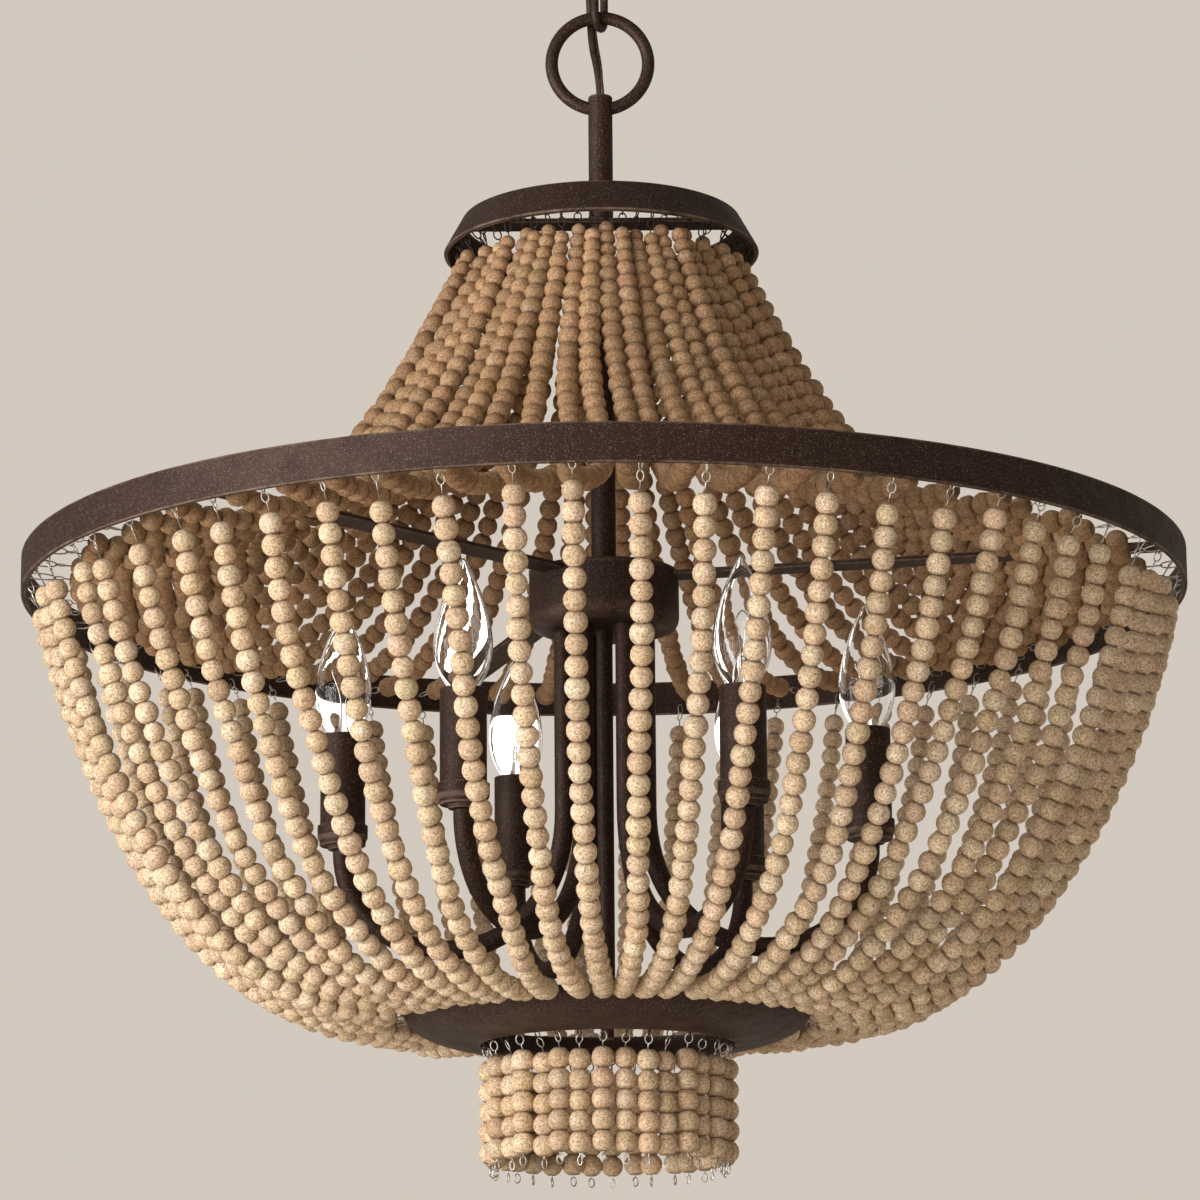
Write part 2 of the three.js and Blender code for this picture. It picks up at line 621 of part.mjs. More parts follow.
function bowlGroup(index) {
  const pitch = 360 / bowl.count;
  const angles = strandAngles((index * 360) / bowl.groups + pitch / 2, pitch, bowl.count / bowl.groups);
  const pitchAngle = THREE.MathUtils.degToRad(pitch);
  const beads = beadRings(bowlCurve(), bowlRingShares, pitchAngle, () => bead.halfThickness);
  for (const ring of beads.slice(-2)) ring.crowded = true;
  const topPlace = [hoopReach - wire.halfWidth, -bowl.hoopHoleBelowTop];
  const bottomPlace = [dish.rimRadius + seatGap + wire.halfWidth, dish.rimZ - wire.halfWidth];
  const lastRing = beads.at(-1);
  const top = wireRing(topPlace, [beads[0].radius - topPlace[0], beads[0].z - topPlace[1]]);
  const bottom = wireRing(bottomPlace, [bottomPlace[0] - lastRing.radius, bottomPlace[1] - lastRing.z]);
  return strandGroup([top, ...beads, bottom], angles);
}

// Crown strands: from the top band's inner face, sagging out beside the spokes, to the hoop
class CrownCurve extends THREE.Curve {
  /** A hanging chain between two [radius, z] points, with its lowest place a share before the end. */
  constructor(start, end) {
    super();
    this.start = start;
    this.end = end;
  }

  getPoint(share, target = new THREE.Vector2()) {
    const { curl, lowest } = crownSagShares;
    const low = Math.cosh(curl * lowest);
    const height = (Math.cosh(curl * (1 - share - lowest)) - low) / (Math.cosh(curl * (1 - lowest)) - low);
    const radius = THREE.MathUtils.lerp(this.start.x, this.end.x, share);
    return target.set(radius, THREE.MathUtils.lerp(this.end.y, this.start.y, height));
  }
}

const crownStart = new THREE.Vector2(
  topBand.bottomRadius - crown.startInset, topBand.bottomZ - crown.startBelowBand,
);
const crownEnd = new THREE.Vector2(hoopInnerRadius - crown.endInset, -crown.endBelowHoopTop);

function crownGroup(index) {
  const perGroup = crown.count / crown.groups;
  const sector = 360 / crown.groups;
  const pitch = (sector - 2 * crown.besideSpokeAngle) / (perGroup - 1);
  const angles = strandAngles(spoke.firstAngle + index * sector + crown.besideSpokeAngle, pitch, perGroup);
  const curve = new CrownCurve(crownStart, crownEnd);
  const depthAt = (share) => (share === 0 ? crown.firstHalfThickness : bead.halfThickness);
  const beads = beadRings(curve, crownRingShares, THREE.MathUtils.degToRad(pitch), depthAt);
  for (const ring of beads.slice(0, 2)) ring.crowded = true;
  const holeZ = topBand.bottomZ + crown.bandHoleAboveEdge;
  const levelWall = (topBand.wall * bandSlant) / topBand.height;
  const bandInner = topBand.bottomRadius - levelWall - (crown.bandHoleAboveEdge * bandFlare) / topBand.height;
  const topPlace = [insideRing(bandInner, topBand.segments) - wire.halfWidth, holeZ];
  const bottomPlace = [hoopReach - wire.halfWidth, -crown.hoopHoleBelowTop];
  const lastRing = beads.at(-1);
  const top = wireRing(topPlace, [beads[0].radius - topPlace[0], beads[0].z - topPlace[1]]);
  const bottom = wireRing(bottomPlace, [bottomPlace[0] - lastRing.radius, bottomPlace[1] - lastRing.z]);
  return strandGroup([top, ...beads, bottom], angles);
}

// Fringe: a ring of short strands hung inside the dish's hole, each bead with its belly and necks
function fringeRing() {
  const pitch = 360 / fringe.count;
  const angles = strandAngles(fringe.firstAngle, pitch, fringe.count);
  const topZ = dishHoleZ - fringe.wireDrop;
  const belly = {
    radius: fringe.circleRadius, normal: [1, 0], crowded: true,
    halfDepth: bead.diameter / 2, edgeDepth: fringe.neckThickness,
  };
  const neck = {
    radius: fringe.circleRadius, normal: [1, 0], halfDepth: fringe.neckThickness, crowded: true,
  };
  const beads = [{ ...neck, z: topZ }];
  for (let i = 0; i < fringe.beads; i += 1) {
    beads.push({ ...belly, z: topZ - (i + 0.5) * bead.pitch });
    beads.push({ ...neck, z: topZ - (i + 1) * bead.pitch });
  }
  const lipRadius = insideRing(dish.holeRadius, dish.segments) - wire.halfWidth;
  const top = wireRing([lipRadius, dishHoleZ + dish.wall / 2], [0, -1]);
  const bottom = wireRing([fringe.circleRadius, beads.at(-1).z - fringe.tailLength], [0, -1]);
  return strandGroup([top, ...beads, bottom], angles, true);
}

for (let i = 0; i < crown.groups; i += 1) addPart(`crown_strands_${i + 1}`, crownGroup(i), beadWood);
for (let i = 0; i < bowl.groups; i += 1) addPart(`bowl_strands_${i + 1}`, bowlGroup(i), beadWood);
addPart('fringe_strands', fringeRing(), beadWood);

export default chandelier;
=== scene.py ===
"""The beaded chandelier's looks, laid over its construction model. Metres, +Z up, ceiling at z = 0."""

import bmesh
import bpy
import numpy as np
from mathutils import Matrix


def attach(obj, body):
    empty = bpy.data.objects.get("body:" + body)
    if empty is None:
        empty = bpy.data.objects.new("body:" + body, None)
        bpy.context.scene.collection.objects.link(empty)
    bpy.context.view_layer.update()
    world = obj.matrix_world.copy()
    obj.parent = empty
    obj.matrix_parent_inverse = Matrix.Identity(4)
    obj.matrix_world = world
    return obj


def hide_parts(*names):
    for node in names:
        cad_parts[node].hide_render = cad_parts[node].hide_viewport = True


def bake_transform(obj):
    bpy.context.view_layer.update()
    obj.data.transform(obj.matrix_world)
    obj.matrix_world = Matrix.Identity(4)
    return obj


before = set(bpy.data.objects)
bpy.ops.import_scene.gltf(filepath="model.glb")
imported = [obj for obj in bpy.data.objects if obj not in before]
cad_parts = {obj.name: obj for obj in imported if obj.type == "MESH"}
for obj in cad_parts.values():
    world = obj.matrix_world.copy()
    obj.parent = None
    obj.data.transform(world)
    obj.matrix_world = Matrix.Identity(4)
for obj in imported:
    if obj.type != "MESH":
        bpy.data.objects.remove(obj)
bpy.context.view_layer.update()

# Camera: 2.8 m in front of the light and 0.65 m below its hoop, tilted up at it through a long lens,
# with the small sideways lean that the photograph has.
camera_place = (-0.0025, -2.81185, -1.1226)
upward_tilt = 0.21958
sideways_lean = 0.00754
photo_camera = bpy.data.objects.new("photo_camera", bpy.data.cameras.new("photo_camera"))
photo_camera.data.sensor_width = 36
photo_camera.data.lens = 140.78
photo_camera.matrix_world = (
    Matrix.Translation(camera_place)
    @ Matrix.Rotation(np.pi / 2 + upward_tilt, 4, "X")
    @ Matrix.Rotation(-sideways_lean, 4, "Z")
)
bpy.context.scene.collection.objects.link(photo_camera)
bpy.context.scene.camera = photo_camera
bpy.context.scene.view_settings.view_transform = "Standard"


# Supply cord: a round flex in a brown sheath. It comes out of the canopy's collar, runs beside the
# chain and behind the hanging loop's bar, and goes down into the stem.
def smooth_line(points, count):
    """Catmull-Rom curve: each span is the cubic whose slopes are half the step between its neighbours."""
    points = np.asarray(points, float)
    before, after = 2 * points[0] - points[1], 2 * points[-1] - points[-2]
    knots = np.vstack([before, points, after])
    place = np.linspace(0, len(points) - 1, count)
    span = np.minimum(place.astype(int), len(points) - 2)
    t = (place - span)[:, None]
    a, b, c, d = (knots[span + k] for k in range(4))
    return b + 0.5 * t * (c - a + t * (2 * a - 5 * b + 4 * c - d + t * (3 * (b - c) + d - a)))


def even_angles(count):
    """A whole turn in equal steps from zero: 2 pi k / count."""
    return np.arange(count) * 2 * np.pi / count


def round_section(radius, sides):
    """Circle: radius times cosine and sine of even angles."""
    angle = even_angles(sides)
    return radius * np.column_stack([np.cos(angle), np.sin(angle)])


def unit(vectors):
    """Vectors at the length of one."""
    return vectors / np.maximum(np.linalg.norm(vectors, axis=-1, keepdims=True), 1e-9)


def carry(section, path, across, closed=False):
    """Profile carried along a path: path + u * across + v * (tangent x across); open ends are capped."""
    ahead = unit(np.roll(path, -1, 0) - np.roll(path, 1, 0) if closed else np.gradient(path, axis=0))
    across = unit(across - ahead * np.sum(across * ahead, axis=1, keepdims=True))
    lift = np.cross(ahead, across)
    grid = path[:, None] + section[:, :1] * across[:, None] + section[:, 1:] * lift[:, None]
    if closed:
        return grid
    caps = np.repeat(path[[0, -1]][:, None], len(section), axis=1)
    return np.concatenate([caps[:1], grid, caps[1:]])


def as_piece(name, mesh, material):
    """A smoothly shaded object at the origin, in its material."""
    mesh.shade_smooth()
    mesh.materials.append(material)
    piece = bpy.data.objects.new(name, mesh)
    bpy.context.scene.collection.objects.link(piece)
    return piece


def skin(name, grid, material, sharp=40, **marks):
    """Surface of the quads between neighbouring points of a grid; marks are numbers kept per point.

    The last column joins the first, and so does the last row, unless the first is a single point.
    """
    rows, columns = grid.shape[:2]
    number = np.arange(rows * columns).reshape(rows, columns)
    number = np.vstack([number, number[:1]]) if np.ptp(grid[0], axis=0).max() > 1e-9 else number
    number = np.hstack([number, number[:, :1]])
    corners = [number[:-1, :-1], number[:-1, 1:], number[1:, 1:], number[1:, :-1]]
    mesh = bpy.data.meshes.new(name)
    mesh.from_pydata(grid.reshape(-1, 3), [], np.stack(corners, -1).reshape(-1, 4))
    for mark, values in marks.items():
        spread = np.broadcast_to(values, (rows, columns)).astype(np.float32)
        mesh.attributes.new(mark, "FLOAT", "POINT").data.foreach_set("value", spread.ravel())
    welded = bmesh.new()
    welded.from_mesh(mesh)
    bmesh.ops.remove_doubles(welded, verts=welded.verts, dist=1e-7)
    bmesh.ops.recalc_face_normals(welded, faces=welded.faces)
    welded.to_mesh(mesh)
    welded.free()
    piece = as_piece(name, mesh, material)
    mesh.set_sharp_from_angle(angle=np.radians(sharp))
    return piece


def node(tree, kind, inputs=None, **settings):
    """Adds a shader node; an input is a number or colour, or the socket that feeds it."""
    made = tree.nodes.new("ShaderNode" + kind)
    for key, value in settings.items():
        setattr(made, key, value)
    for key, value in (inputs or {}).items():
        if isinstance(value, bpy.types.NodeSocket):
            tree.links.new(value, made.inputs[key])
        else:
            made.inputs[key].default_value = value
    return made


def worked(tree, operation, first, second):
    """One step of arithmetic on two values."""
    return node(tree, "Math", {0: first, 1: second}, operation=operation).outputs[0]


def mixed(tree, share, first, second, blend_type="MIX"):
    """A colour between two, by a share."""
    inputs = {0: share, 6: first, 7: second}
    return node(tree, "Mix", inputs, data_type="RGBA", blend_type=blend_type).outputs[2]


def effect(name, takes, gives):
    """A node group with named sockets: takes maps each input to its type and value."""
    tree = bpy.data.node_groups.new(name, "ShaderNodeTree")
    for socket, (kind, value) in takes.items():
        tree.interface.new_socket(socket, in_out="INPUT", socket_type=kind)
        if value is not None:
            tree.interface.items_tree[socket].default_value = value
    tree.interface.new_socket(gives, in_out="OUTPUT", socket_type="NodeSocketFloat")
    return tree, tree.nodes.new("NodeGroupInput").outputs, tree.nodes.new("NodeGroupOutput").inputs


# Mottle: the slow, cloudy change of tone that plastic, plating and wood all have, from two sizes of
# noise. It gives a value from 0 to 1.
mottle, given, wanted = effect(
    "Mottle", {"Vector": ("NodeSocketVector", None), "Scale": ("NodeSocketFloat", 40.0)}, "Tone"
)
finer_times, fine_share = 5.3, 0.35
point, scale = given["Vector"], given["Scale"]
broad = node(mottle, "TexNoise", {"Vector": point, "Scale": scale, "Detail": 3.0})
finer_scale = worked(mottle, "MULTIPLY", scale, finer_times)
fine = node(mottle, "TexNoise", {"Vector": point, "Scale": finer_scale})
both = node(mottle, "Mix", {0: fine_share, 2: broad.outputs[0], 3: fine.outputs[0]})
spread_out = node(mottle, "MapRange", {0: both.outputs[0], 1: 0.35, 2: 0.65})
mottle.links.new(spread_out.outputs[0], wanted["Tone"])


def finish_of(name, **plain):
    """A material with a Principled shader; plain numbers go straight on its own sockets."""
    material = bpy.data.materials.new(name)
    material.use_nodes = True
    tree = material.node_tree
    shader = tree.nodes["Principled BSDF"]
    for key, value in plain.items():
        shader.inputs[key.replace("_", " ")].default_value = value
    return material, tree, shader


def tone_of(tree, scale):
    """Where the shader is on the piece, and the mottle's tone there."""
    place = node(tree, "TexCoord").outputs["Object"]
    made = node(tree, "Group", {"Vector": place, "Scale": scale}, node_tree=mottle)
    return place, made.outputs["Tone"]


def mottled_finish(name, scale, dark, light, gloss, **plain):
    """A material whose colour goes from dark to light, and its roughness through gloss, by the mottle."""
    material, tree, shader = finish_of(name, **plain)
    tone = tone_of(tree, scale)[1]
    tree.links.new(mixed(tree, tone, dark, light), shader.inputs["Base Color"])
    dulled = node(tree, "MapRange", {0: tone, 3: gloss[0], 4: gloss[1]})
    tree.links.new(dulled.outputs[0], shader.inputs["Roughness"])
    return material


cord_finish = mottled_finish(
    "brown cord sheath", 120.0, (0.018, 0.011, 0.008, 1), (0.045, 0.028, 0.02, 1), (0.38, 0.55),
    Specular_IOR_Level=0.4,
)
hoop_top = -0.475
cord_radius = 0.0025
cord_route = np.array([
    (0, 0, 0.296), (0, 0, 0.308), (-0.0014, 0.002, 0.322), (-0.0042, 0.0058, 0.338),
    (-0.0054, 0.0076, 0.352), (-0.006, 0.0074, 0.368), (-0.0062, 0.0068, 0.386), (-0.0065, 0.0064, 0.404),
    (-0.0056, 0.0056, 0.417), (-0.0022, 0.0022, 0.427), (0, 0, 0.435), (0, 0, 0.445),
]) + (0, 0, hoop_top)
cord_line = smooth_line(cord_route, 60)
cord_skin = carry(round_section(cord_radius, 16), cord_line, (0, 1, 0))
supply_cord = skin("supply_cord_flex", cord_skin, cord_finish)
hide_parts("supply_cord")
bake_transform(supply_cord)

# Earth wire: a thin wire of bare copper, dulled by the air. It runs beside the cord, a little slacker,
# into the same stem.
copper_finish = mottled_finish(
    "dulled copper", 200.0, (0.11, 0.045, 0.025, 1), (0.28, 0.12, 0.06, 1), (0.3, 0.5), Metallic=0.9
)
earth_radius = 0.0008
earth_route = np.array([
    (0.0014, -0.002, 0.298), (0.0012, -0.0016, 0.31), (0.0006, 0.001, 0.324), (-0.0016, 0.0052, 0.34),
    (-0.003, 0.0078, 0.354), (-0.0035, 0.0082, 0.368), (-0.0036, 0.0078, 0.386), (-0.0036, 0.0074, 0.404),
    (-0.0026, 0.0062, 0.417), (-0.0002, 0.0036, 0.427), (0.0012, 0.0018, 0.434), (0.0014, 0.0018, 0.444),
]) + (0, 0, hoop_top)
earth_line = smooth_line(earth_route, 48)
earth_wire = skin("earth_wire", carry(round_section(earth_radius, 8), earth_line, (0, 1, 0)), copper_finish)
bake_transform(earth_wire)

# Ceiling strap: zinc-plated flat steel with a hole near each end for the box screws and the nipple's
# thread at its centre. It lies against the ceiling under the canopy.
zinc_finish = mottled_finish(
    "zinc-plated steel", 90.0, (0.36, 0.36, 0.34, 1), (0.6, 0.6, 0.57, 1), (0.28, 0.48), Metallic=0.85
)
ceiling_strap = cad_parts["ceiling_strap"]
ceiling_strap.data.materials.clear()
ceiling_strap.data.materials.append(zinc_finish)

# Bronze metalwork finish: a dark brown textured powder coat with fine light flecks in it, rubbed a
# little paler along its edges. Every rolled, spun and bent steel piece of the light has it.
flecks, given, wanted = effect(
    "Flecks",
    {
        "Vector": ("NodeSocketVector", None), "Scale": ("NodeSocketFloat", 500.0),
        "Size": ("NodeSocketFloat", 0.4), "Share": ("NodeSocketFloat", 0.5),
    },
    "Mask",
)
fleck_edge = 0.12
cells = node(flecks, "TexVoronoi", {"Vector": given["Vector"], "Scale": given["Scale"]})
chance = node(flecks, "SeparateColor", {0: cells.outputs["Color"]})
reach = worked(flecks, "MULTIPLY", chance.outputs[0], given["Size"])
within = worked(flecks, "SUBTRACT", reach, cells.outputs["Distance"])
soft_edge = node(flecks, "MapRange", {0: within, 1: 0.0, 2: fleck_edge})
chosen = worked(flecks, "LESS_THAN", chance.outputs[1], given["Share"])
flecks.links.new(worked(flecks, "MULTIPLY", soft_edge.outputs[0], chosen), wanted["Mask"])


def fleck_mask_of(tree, place, **numbers):
    """The flecks' mask at a place on the piece, with its Scale, Size and Share."""
    return node(tree, "Group", {"Vector": place, **numbers}, node_tree=flecks).outputs["Mask"]


bronze_finish, tree, shader = finish_of(
    "flecked bronze coat", Specular_IOR_Level=0.42, Specular_Tint=(1.0, 0.74, 0.62, 1)
)
place, tone = tone_of(tree, 55.0)
coat = mixed(tree, tone, (0.019, 0.0086, 0.0060, 1), (0.027, 0.0132, 0.0094, 1))
rub = node(tree, "Attribute", attribute_name="rub").outputs["Fac"]
rubbed = mixed(tree, worked(tree, "MULTIPLY", rub, tone), coat, (0.17, 0.115, 0.082, 1))
fleck_mask = fleck_mask_of(tree, place, Scale=1500.0, Size=0.45, Share=0.75)
tree.links.new(mixed(tree, fleck_mask, rubbed, (0.2, 0.165, 0.145, 1)), shader.inputs["Base Color"])
gloss = node(tree, "MapRange", {0: tone, 3: 0.62, 4: 0.48})
tree.links.new(gloss.outputs[0], shader.inputs["Roughness"])
texture = node(tree, "TexNoise", {"Vector": place, "Scale": 900.0, "Detail": 2.0}).outputs[0]
relief = worked(tree, "ADD", fleck_mask, texture)
raised = node(tree, "Bump", {"Strength": 0.35, "Distance": 0.0003, "Height": relief})
tree.links.new(raised.outputs[0], shader.inputs["Normal"])


# Canopy: a spun steel cover, open against the ceiling, with its rim turned over and a hole in its
# middle for the loop's nipple
def around(radius, height, angle):
    """Points round the upright axis: (radius cos a, radius sin a, height)."""
    return np.stack(np.broadcast_arrays(radius * np.cos(angle), radius * np.sin(angle), height), -1)


def turned(profile, sides):
    """Lathe: each profile point (radius, z) goes to (radius cos a, radius sin a, z) for even angles a."""
    return around(profile[:, :1], profile[:, 1:], even_angles(sides))


def set_piece(piece, body, slot, *nodes):
    """The piece rides on its body and stands for its construction nodes, which it hides; slot is not used.
    """
    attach(piece, body)
    if nodes:
        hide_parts(*nodes)


def bronze_piece(name, grid, *nodes, body="fixture", **settings):
    """A piece of the bronze metalwork, in the place of its construction nodes."""
    set_piece(skin(name, grid, bronze_finish, **settings), body, "bronze", *nodes)


def spun_wall(flat, rim_z, reach, depth, wall):
    """Outside and inside of a spun sheet: quarter ellipses (flat + reach cos a, rim_z - depth sin a)."""
    angle = np.linspace(0, np.pi / 2, 25)
    outside, inside = (
        np.column_stack([flat + (reach - less) * np.cos(angle), rim_z - (depth - less) * np.sin(angle)])
        for less in (0, wall)
    )
    return outside, inside[::-1]


canopy_radius, canopy_height, canopy_wall, canopy_flat, canopy_hole = 0.0635, 0.026, 0.0015, 0.022, 0.0054
canopy_outside, canopy_inside = spun_wall(
    canopy_flat, 0, canopy_radius - canopy_flat, canopy_height, canopy_wall
)
canopy_hole_wall = [(canopy_hole, -canopy_height), (canopy_hole, canopy_wall - canopy_height)]
canopy_profile = np.vstack([canopy_outside, canopy_hole_wall, canopy_inside])
canopy_rub = np.zeros((len(canopy_profile), 1))
canopy_rub[[0, -1]] = 1
bronze_piece("canopy_cover", turned(canopy_profile, 96), "canopy", body="ceiling_fitting", rub=canopy_rub)


# Canopy loop: a round-wire ring welded under a turned collar, whose hollow nipple goes up through the
# canopy into the strap and lets the cord through
def eased(corners, easing, steps=3):
    """Outline with eased corners: each is the curve (1-t)^2 A + 2t(1-t) C + t^2 B through the corner C.

    A and B lie on the two sides, an easing's length from C, and a holding point lies just beyond each,
    which keeps the flat sides flat in their shading. The second result marks the eased points with 1.
    """
    corners = np.asarray(corners, float)
    easing = np.broadcast_to(easing, len(corners))
    hold = 1.4
    t = np.linspace(0, 1, steps + 1)[:, None]
    points, marks = [], []
    for k, corner in enumerate(corners):
        if easing[k] == 0:
            points.append([corner])
            marks.append([0.0])
            continue
        sides = unit(np.array([corners[k - 1], corners[(k + 1) % len(corners)]]) - corner)
        bend = (1 - t) ** 2 * sides[0] + t**2 * sides[1]
        points.append(np.vstack([hold * sides[0], bend, hold * sides[1]]) * easing[k] + corner)
        marks.append([0.0] + [1.0] * (steps + 1) + [0.0])
    return np.vstack(points), np.concatenate(marks)[:, None]


def bar_circle(radius, angle):
    """Circle in the plane of X and Z, from its lowest point: radius (sin a, 0, -cos a)."""
    return radius * np.column_stack([np.sin(angle), np.zeros(len(angle)), -np.cos(angle)])


ring_middle_z, ring_radius, ring_wire = -0.0485, 0.0175, 0.0025
ring_line = bar_circle(ring_radius, even_angles(64))[:, [1, 0, 2]] + (0, 0, ring_middle_z)
ring_skin = carry(round_section(ring_wire, 16), ring_line, (1, 0, 0), closed=True)
bronze_piece("canopy_ring", ring_skin, "canopy_loop", body="ceiling_fitting")

collar_foot, collar_top, nipple_top = -0.038, -0.0263, -0.0028
collar_radius, nipple_radius, nipple_bore = 0.008, 0.005, 0.0028
collar_outline, collar_rub = eased(
    [
        (nipple_bore, collar_foot), (collar_radius, collar_foot), (collar_radius, collar_top),
        (nipple_radius, collar_top), (nipple_radius, nipple_top), (nipple_bore, nipple_top),
    ],
    [0.0006, 0.0014, 0.0008, 0, 0.0005, 0.0003],
)
bronze_piece("canopy_collar", turned(collar_outline, 48), body="ceiling_fitting", rub=collar_rub)


# Chain: two links of 5 mm round bar. The lower one stands edge-on, a little twisted, through the
# hanging loop, and the upper one faces front through the canopy's ring.
def link_path(half_straight, bend, count):
    """Link's centre line: a circle of the bend's radius, parted at its waist by two straight sides."""
    angle = (np.arange(count) + 0.5) * 2 * np.pi / count
    height = bend * np.sin(angle) + np.sign(np.sin(angle)) * half_straight
    return np.column_stack([bend * np.cos(angle), np.zeros(count), height])


def about_axis(points, degrees):
    """Turns points about the upright axis: (x cos a - y sin a, x sin a + y cos a, z)."""
    cosine, sine = np.cos(np.radians(degrees)), np.sin(np.radians(degrees))
    return points @ np.array([(cosine, sine, 0), (-sine, cosine, 0), (0, 0, 1)])


link_wire, link_half_straight, link_bend = 0.0025, 0.009, 0.0085
for number, (link_turn, link_height) in enumerate([(70, 0.3671), (0, 0.3968)], start=1):
    bar_line = about_axis(link_path(link_half_straight, link_bend, 48), link_turn)
    bar_line = bar_line + (0, 0, link_height + hoop_top)
    across = about_axis(np.array([[0, 1.0, 0]]), link_turn)
    link_skin = carry(round_section(link_wire, 14), bar_line, across, closed=True)
    bronze_piece(f"chain_link_bar_{number}", link_skin, f"chain_link_{number}")

# Hanging loop: a 69 mm ring of 8 mm round bar, cut to sit on both sides of the stem's top and
# welded there
loop_middle_z, loop_radius, loop_bar, loop_half_cut = 0.326 + hoop_top, 0.0304, 0.004, 0.0055
half_gap = np.arcsin(loop_half_cut / loop_radius)
loop_line = bar_circle(loop_radius, np.linspace(half_gap, 2 * np.pi - half_gap, 96)) + (0, 0, loop_middle_z)
loop_skin = carry(round_section(loop_bar, 24), loop_line, (0, 1, 0))
bronze_piece("hanging_loop_ring", loop_skin, "hanging_loop")

# Stem: a 15 mm steel tube from the loop down through the top band's bar to the hub, where it is
# welded. Its mouth is open for the cord and its edges are broken.
stem_radius, stem_bore, stem_top, stem_foot = 0.0076, 0.0034, 0.304 + hoop_top, -0.0022 + hoop_top
stem_outline, stem_rub = eased(
    [(stem_bore, stem_foot), (stem_radius, stem_foot), (stem_radius, stem_top), (stem_bore, stem_top)],
    [0.0004, 0.0006, 0.0011, 0.0006],
)
bronze_piece("stem_tube", turned(stem_outline, 48), "stem", rub=stem_rub)

# Top band: flat steel rolled into a short cone that flares downward, and welded. The crown's wires
# hang inside it.
band_top = 0.222
band_outline, band_rub = eased(
    [(0.0985, 0.2003), (0.0865, band_top), (0.083875, 0.22055), (0.095875, 0.19885)], 0.0009
)
bronze_piece("top_band_cone", turned(band_outline + (0, hoop_top), 160), "top_band", rub=band_rub)


# Flat bars: 19 by 3 mm steel with eased edges. One crosses the top band and the stem goes through it,
# three are the spokes from the hub to the hoop, and one crosses the dish.
def flat_bar(name, start, end, turn, top_z, construction):
    """Bar along X from start to end, its ends shaped to circles: x = sign(end) sqrt(end^2 - y^2)."""
    half_width, thickness, bar_easing = 0.0095, 0.003, 0.0007
    outline, marks = eased(
        [(-half_width, 0), (half_width, 0), (half_width, -thickness), (-half_width, -thickness)], bar_easing
    )
    along = np.linspace(0, 1, 9)
    ends = [np.sign(x) * np.sqrt(x**2 - outline[:, 0] ** 2) for x in (start, end)]
    x = ends[0] + along[:, None] * (ends[1] - ends[0])
    grid = np.stack(np.broadcast_arrays(x, outline[:, 0], outline[:, 1]), -1)
    middle = grid.mean(axis=1, keepdims=True)
    caps = np.repeat(middle[[0, -1]], x.shape[1], axis=1)
    grid = np.concatenate([caps[:1], grid, caps[1:]])
    grid = about_axis(grid.reshape(-1, 3), turn).reshape(grid.shape) + (0, 0, top_z)
    bronze_piece(name, grid, construction, rub=marks.T)


top_bar_half, spoke_drop, hub_seat, hoop_seat = 0.0832, 0.0055, 0.0003, 0.0004
flat_bar("top_crossbar_flat", -top_bar_half, top_bar_half, 0, band_top + hoop_top, "top_crossbar")
hub_radius, hoop_radius, hoop_wall, hoop_height = 0.046, 0.3556, 0.0032, 0.0228
for number, turn in enumerate((-13, 107, 227), start=1):
    ends = (hub_radius + hub_seat, hoop_radius - hoop_wall - hoop_seat)
    flat_bar(f"spoke_flat_{number}", *ends, turn, hoop_top - spoke_drop, f"spoke_{number}")

# Hoop: flat steel rolled on edge into a 711 mm ring and welded. Both sets of long strands are wired
# to its inner face.
hoop_outline, hoop_rub = eased(
    [
        (hoop_radius, hoop_top - hoop_height), (hoop_radius, hoop_top),
        (hoop_radius - hoop_wall, hoop_top), (hoop_radius - hoop_wall, hoop_top - hoop_height),
    ],
    0.0008,
)
bronze_piece("hoop_band", turned(hoop_outline, 320), "hoop", rub=hoop_rub)

# Hub: a spun canister that holds the wiring, with a rolled bottom edge. The spokes are welded to its
# side, and the rod and the arms go up into its floor.
hub_top, hub_floor, floor_rub = hoop_top - 0.0025, hoop_top - 0.0398, 0.3
hub_outline, hub_rub = eased(
    [(0, hub_floor), (hub_radius, hub_floor), (hub_radius, hub_top), (0, hub_top)],
    [0, 0.0085, 0.0025, 0], steps=8,
)
bronze_piece("hub_canister", turned(hub_outline, 96), "hub", rub=floor_rub * hub_rub)

# Centre rod: a 10 mm steel rod from the hub to the dish, threaded at its foot and held by a hex nut
# under the dish's crossbar
dish_rim_z = hoop_top - 0.274
rod_radius, thread_radius, rod_foot, rod_gap = 0.005, 0.004, dish_rim_z - 0.017, 0.0003
rod_outline, rod_rub = eased(
    [
        (0, rod_foot), (thread_radius, rod_foot), (thread_radius, dish_rim_z + rod_gap),
        (rod_radius, dish_rim_z + rod_gap), (rod_radius, hub_floor - rod_gap), (0, hub_floor - rod_gap),
    ],
    [0, 0.0007, 0, 0.0004, 0.0002, 0],
)
bronze_piece("centre_rod_bar", turned(rod_outline, 32), "centre_rod", rub=rod_rub)

nut_top, nut_corner = dish_rim_z - 0.0033, 0.0065
nut_angle = even_angles(60)
flat_side = (nut_angle + np.pi / 6) % (np.pi / 3) - np.pi / 6
nut_reach = nut_corner * np.cos(np.pi / 6) / np.cos(flat_side)
nut_rows = np.array([
    (0.0042, 0, 0), (0.0056, 0, 0), (0, 1, -0.0008), (0, 1, -0.0052), (0.0056, 0, -0.006),
    (0.0042, 0, -0.006),
])
nut_radius = nut_rows[:, :1] + nut_rows[:, 1:2] * nut_reach
nut_grid = around(nut_radius, nut_rows[:, 2:] + nut_top, nut_angle)
bronze_piece("rod_nut_hex", nut_grid, "rod_nut", sharp=25)

